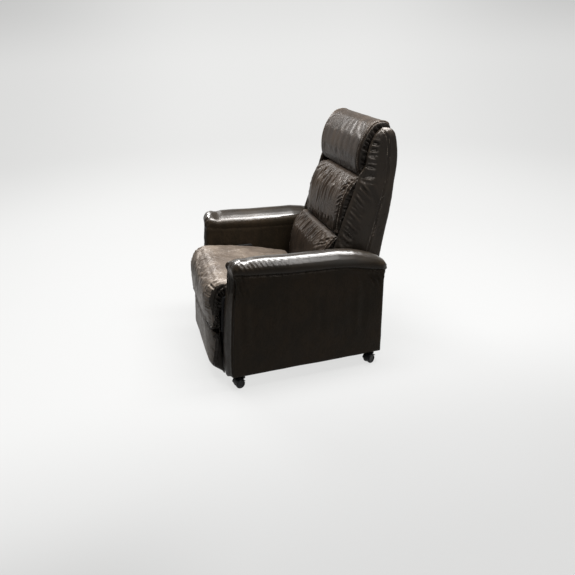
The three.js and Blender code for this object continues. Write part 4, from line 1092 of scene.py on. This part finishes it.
def studio_paper():
    """Seamless paper: dim for the light that bounces off it, pale where it is looked at, with a painted
    falloff of light.
    """
    finish = Finish("studio_paper")
    at = finish.place()
    aside = finish.along(at, (0.281, 0.960, 0))
    towards = finish.along(at, (1, 0, 0))
    height = finish.along(at, (0, 0, 1))
    from_chair = finish.place(shift=(-0.2, -0.2, 0))
    ring = finish.node("VectorMath", {"operation": "LENGTH"}, from_chair, output="Value")
    # the glow is lowered where the lamps light the paper, and painted darker away from the chair, to the
    # sides, towards the camera, up the wall and in the near left corner: a painted falloff of light
    lit = 0.22 / (1 + ring * ring / 9) ** 2
    level = 0.92 - lit - ring.clear(0.6, 2.6) * 0.06 - ring.clear(2.2, 6.0) * 0.04
    level = level - abs(aside).clear(1.0, 4.6) * 0.12 - towards.clear(0.2, 1.5) * 0.21
    level = level - height.clear(0.9, 2.0) * (abs(aside).clear(1.5, 4.6) * 0.09 + 0.06)
    level = level - (aside * -1).clear(0.1, 0.7) * towards.clear(0.8, 1.4) * 0.11
    bounce = finish.node("BsdfDiffuse", {}, Color=(0.07, 0.07, 0.07))
    shaded = finish.node("BsdfDiffuse", {}, Color=(0.055, 0.055, 0.055))
    glow = finish.node("Emission", {}, Strength=level, Color=(1, 1, 0.99))
    seen = finish.node("AddShader", {}, shaded, glow)
    camera_ray, glossy_ray, clear_ray = (
        finish.node("LightPath", {}, output=f"Is {way} Ray") for way in ("Camera", "Glossy", "Transmission")
    )
    looked_at = camera_ray.most(glossy_ray).most(clear_ray)
    return finish.done(finish.node("MixShader", {}, looked_at, bounce, seen))


def studio():
    """The floor and its wall, in one sheet of paper."""
    bm = bmesh.new()
    bmesh.ops.create_circle(bm, cap_ends=True, segments=96, radius=FLOOR_RADIUS)
    rim = list(bm.edges)
    for step in range(1, CURVE_STEPS + 1):
        angle = math.pi / 2 * step / CURVE_STEPS
        grown = bmesh.ops.extrude_edge_only(bm, edges=rim)["geom"]
        rim = [e for e in grown if isinstance(e, bmesh.types.BMEdge)]
        for vert in {v for e in rim for v in e.verts}:
            reach = FLOOR_RADIUS + CURVE_RADIUS * math.sin(angle)
            flat = Vector((vert.co.x, vert.co.y)).normalized() * reach
            vert.co = (flat.x, flat.y, CURVE_RADIUS * (1 - math.cos(angle)))
    grown = bmesh.ops.extrude_edge_only(bm, edges=rim)["geom"]
    upper = [v for v in grown if isinstance(v, bmesh.types.BMVert)]
    bmesh.ops.translate(bm, vec=(0, 0, WALL_HEIGHT), verts=upper)
    floor = new_piece("studio_floor", bm)
    floor.data.materials.append(studio_paper())
    floor.data.shade_smooth()


def softbox(name, place, aim, size, power):
    """A rectangular lamp, its size in metres and its power in watts."""
    lamp = bpy.data.lights.new(name, "AREA")
    lamp.shape = "RECTANGLE"
    lamp.size, lamp.size_y = size
    lamp.energy = power
    holder = bpy.data.objects.new(name, lamp)
    holder.location = place
    holder.rotation_euler = (Vector(aim) - Vector(place)).to_track_quat("-Z", "Y").to_euler()
    scene.collection.objects.link(holder)


studio()
softbox("top", (0.2, 0.5, 3.0), (0.1, 0.2, 0.5), (0.65, 2.6), 360)
softbox("window", (-2.3, -1.1, 3.0), (0, 0, 0.8), (1.2, 0.8), 150)
softbox("edge", (1.6, -2.8, 2.0), (0.1, -0.1, 0.5), (0.7, 0.7), 5)
softbox("side", (2.4, 0.7, 2.5), (0.2, 0, 0.6), (0.6, 2.2), 45)

world = bpy.data.worlds.new("studio_air")
world.use_nodes = True
air = world.node_tree.nodes["Background"].inputs
air["Color"].default_value = (1, 1, 1, 1)
air["Strength"].default_value = 0.01
scene.world = world
scene.view_settings.view_transform = "Standard"

camera = bpy.data.cameras.new("camera")
camera.sensor_width = 36
camera.lens = 34.1755826
camera.clip_end = 60
viewer = bpy.data.objects.new("camera", camera)
right = Vector((0.29273727, 0.95583551, -0.02614129))
up = Vector((-0.40584779, 0.14895753, 0.90172015))
ahead = Vector((-0.86579008, 0.25335771, -0.43152915))
turned = Matrix((right, up, -ahead)).transposed().to_4x4()
viewer.matrix_world = Matrix.Translation((2.3713, -0.6848, 1.4643)) @ turned
scene.collection.objects.link(viewer)
scene.camera = viewer
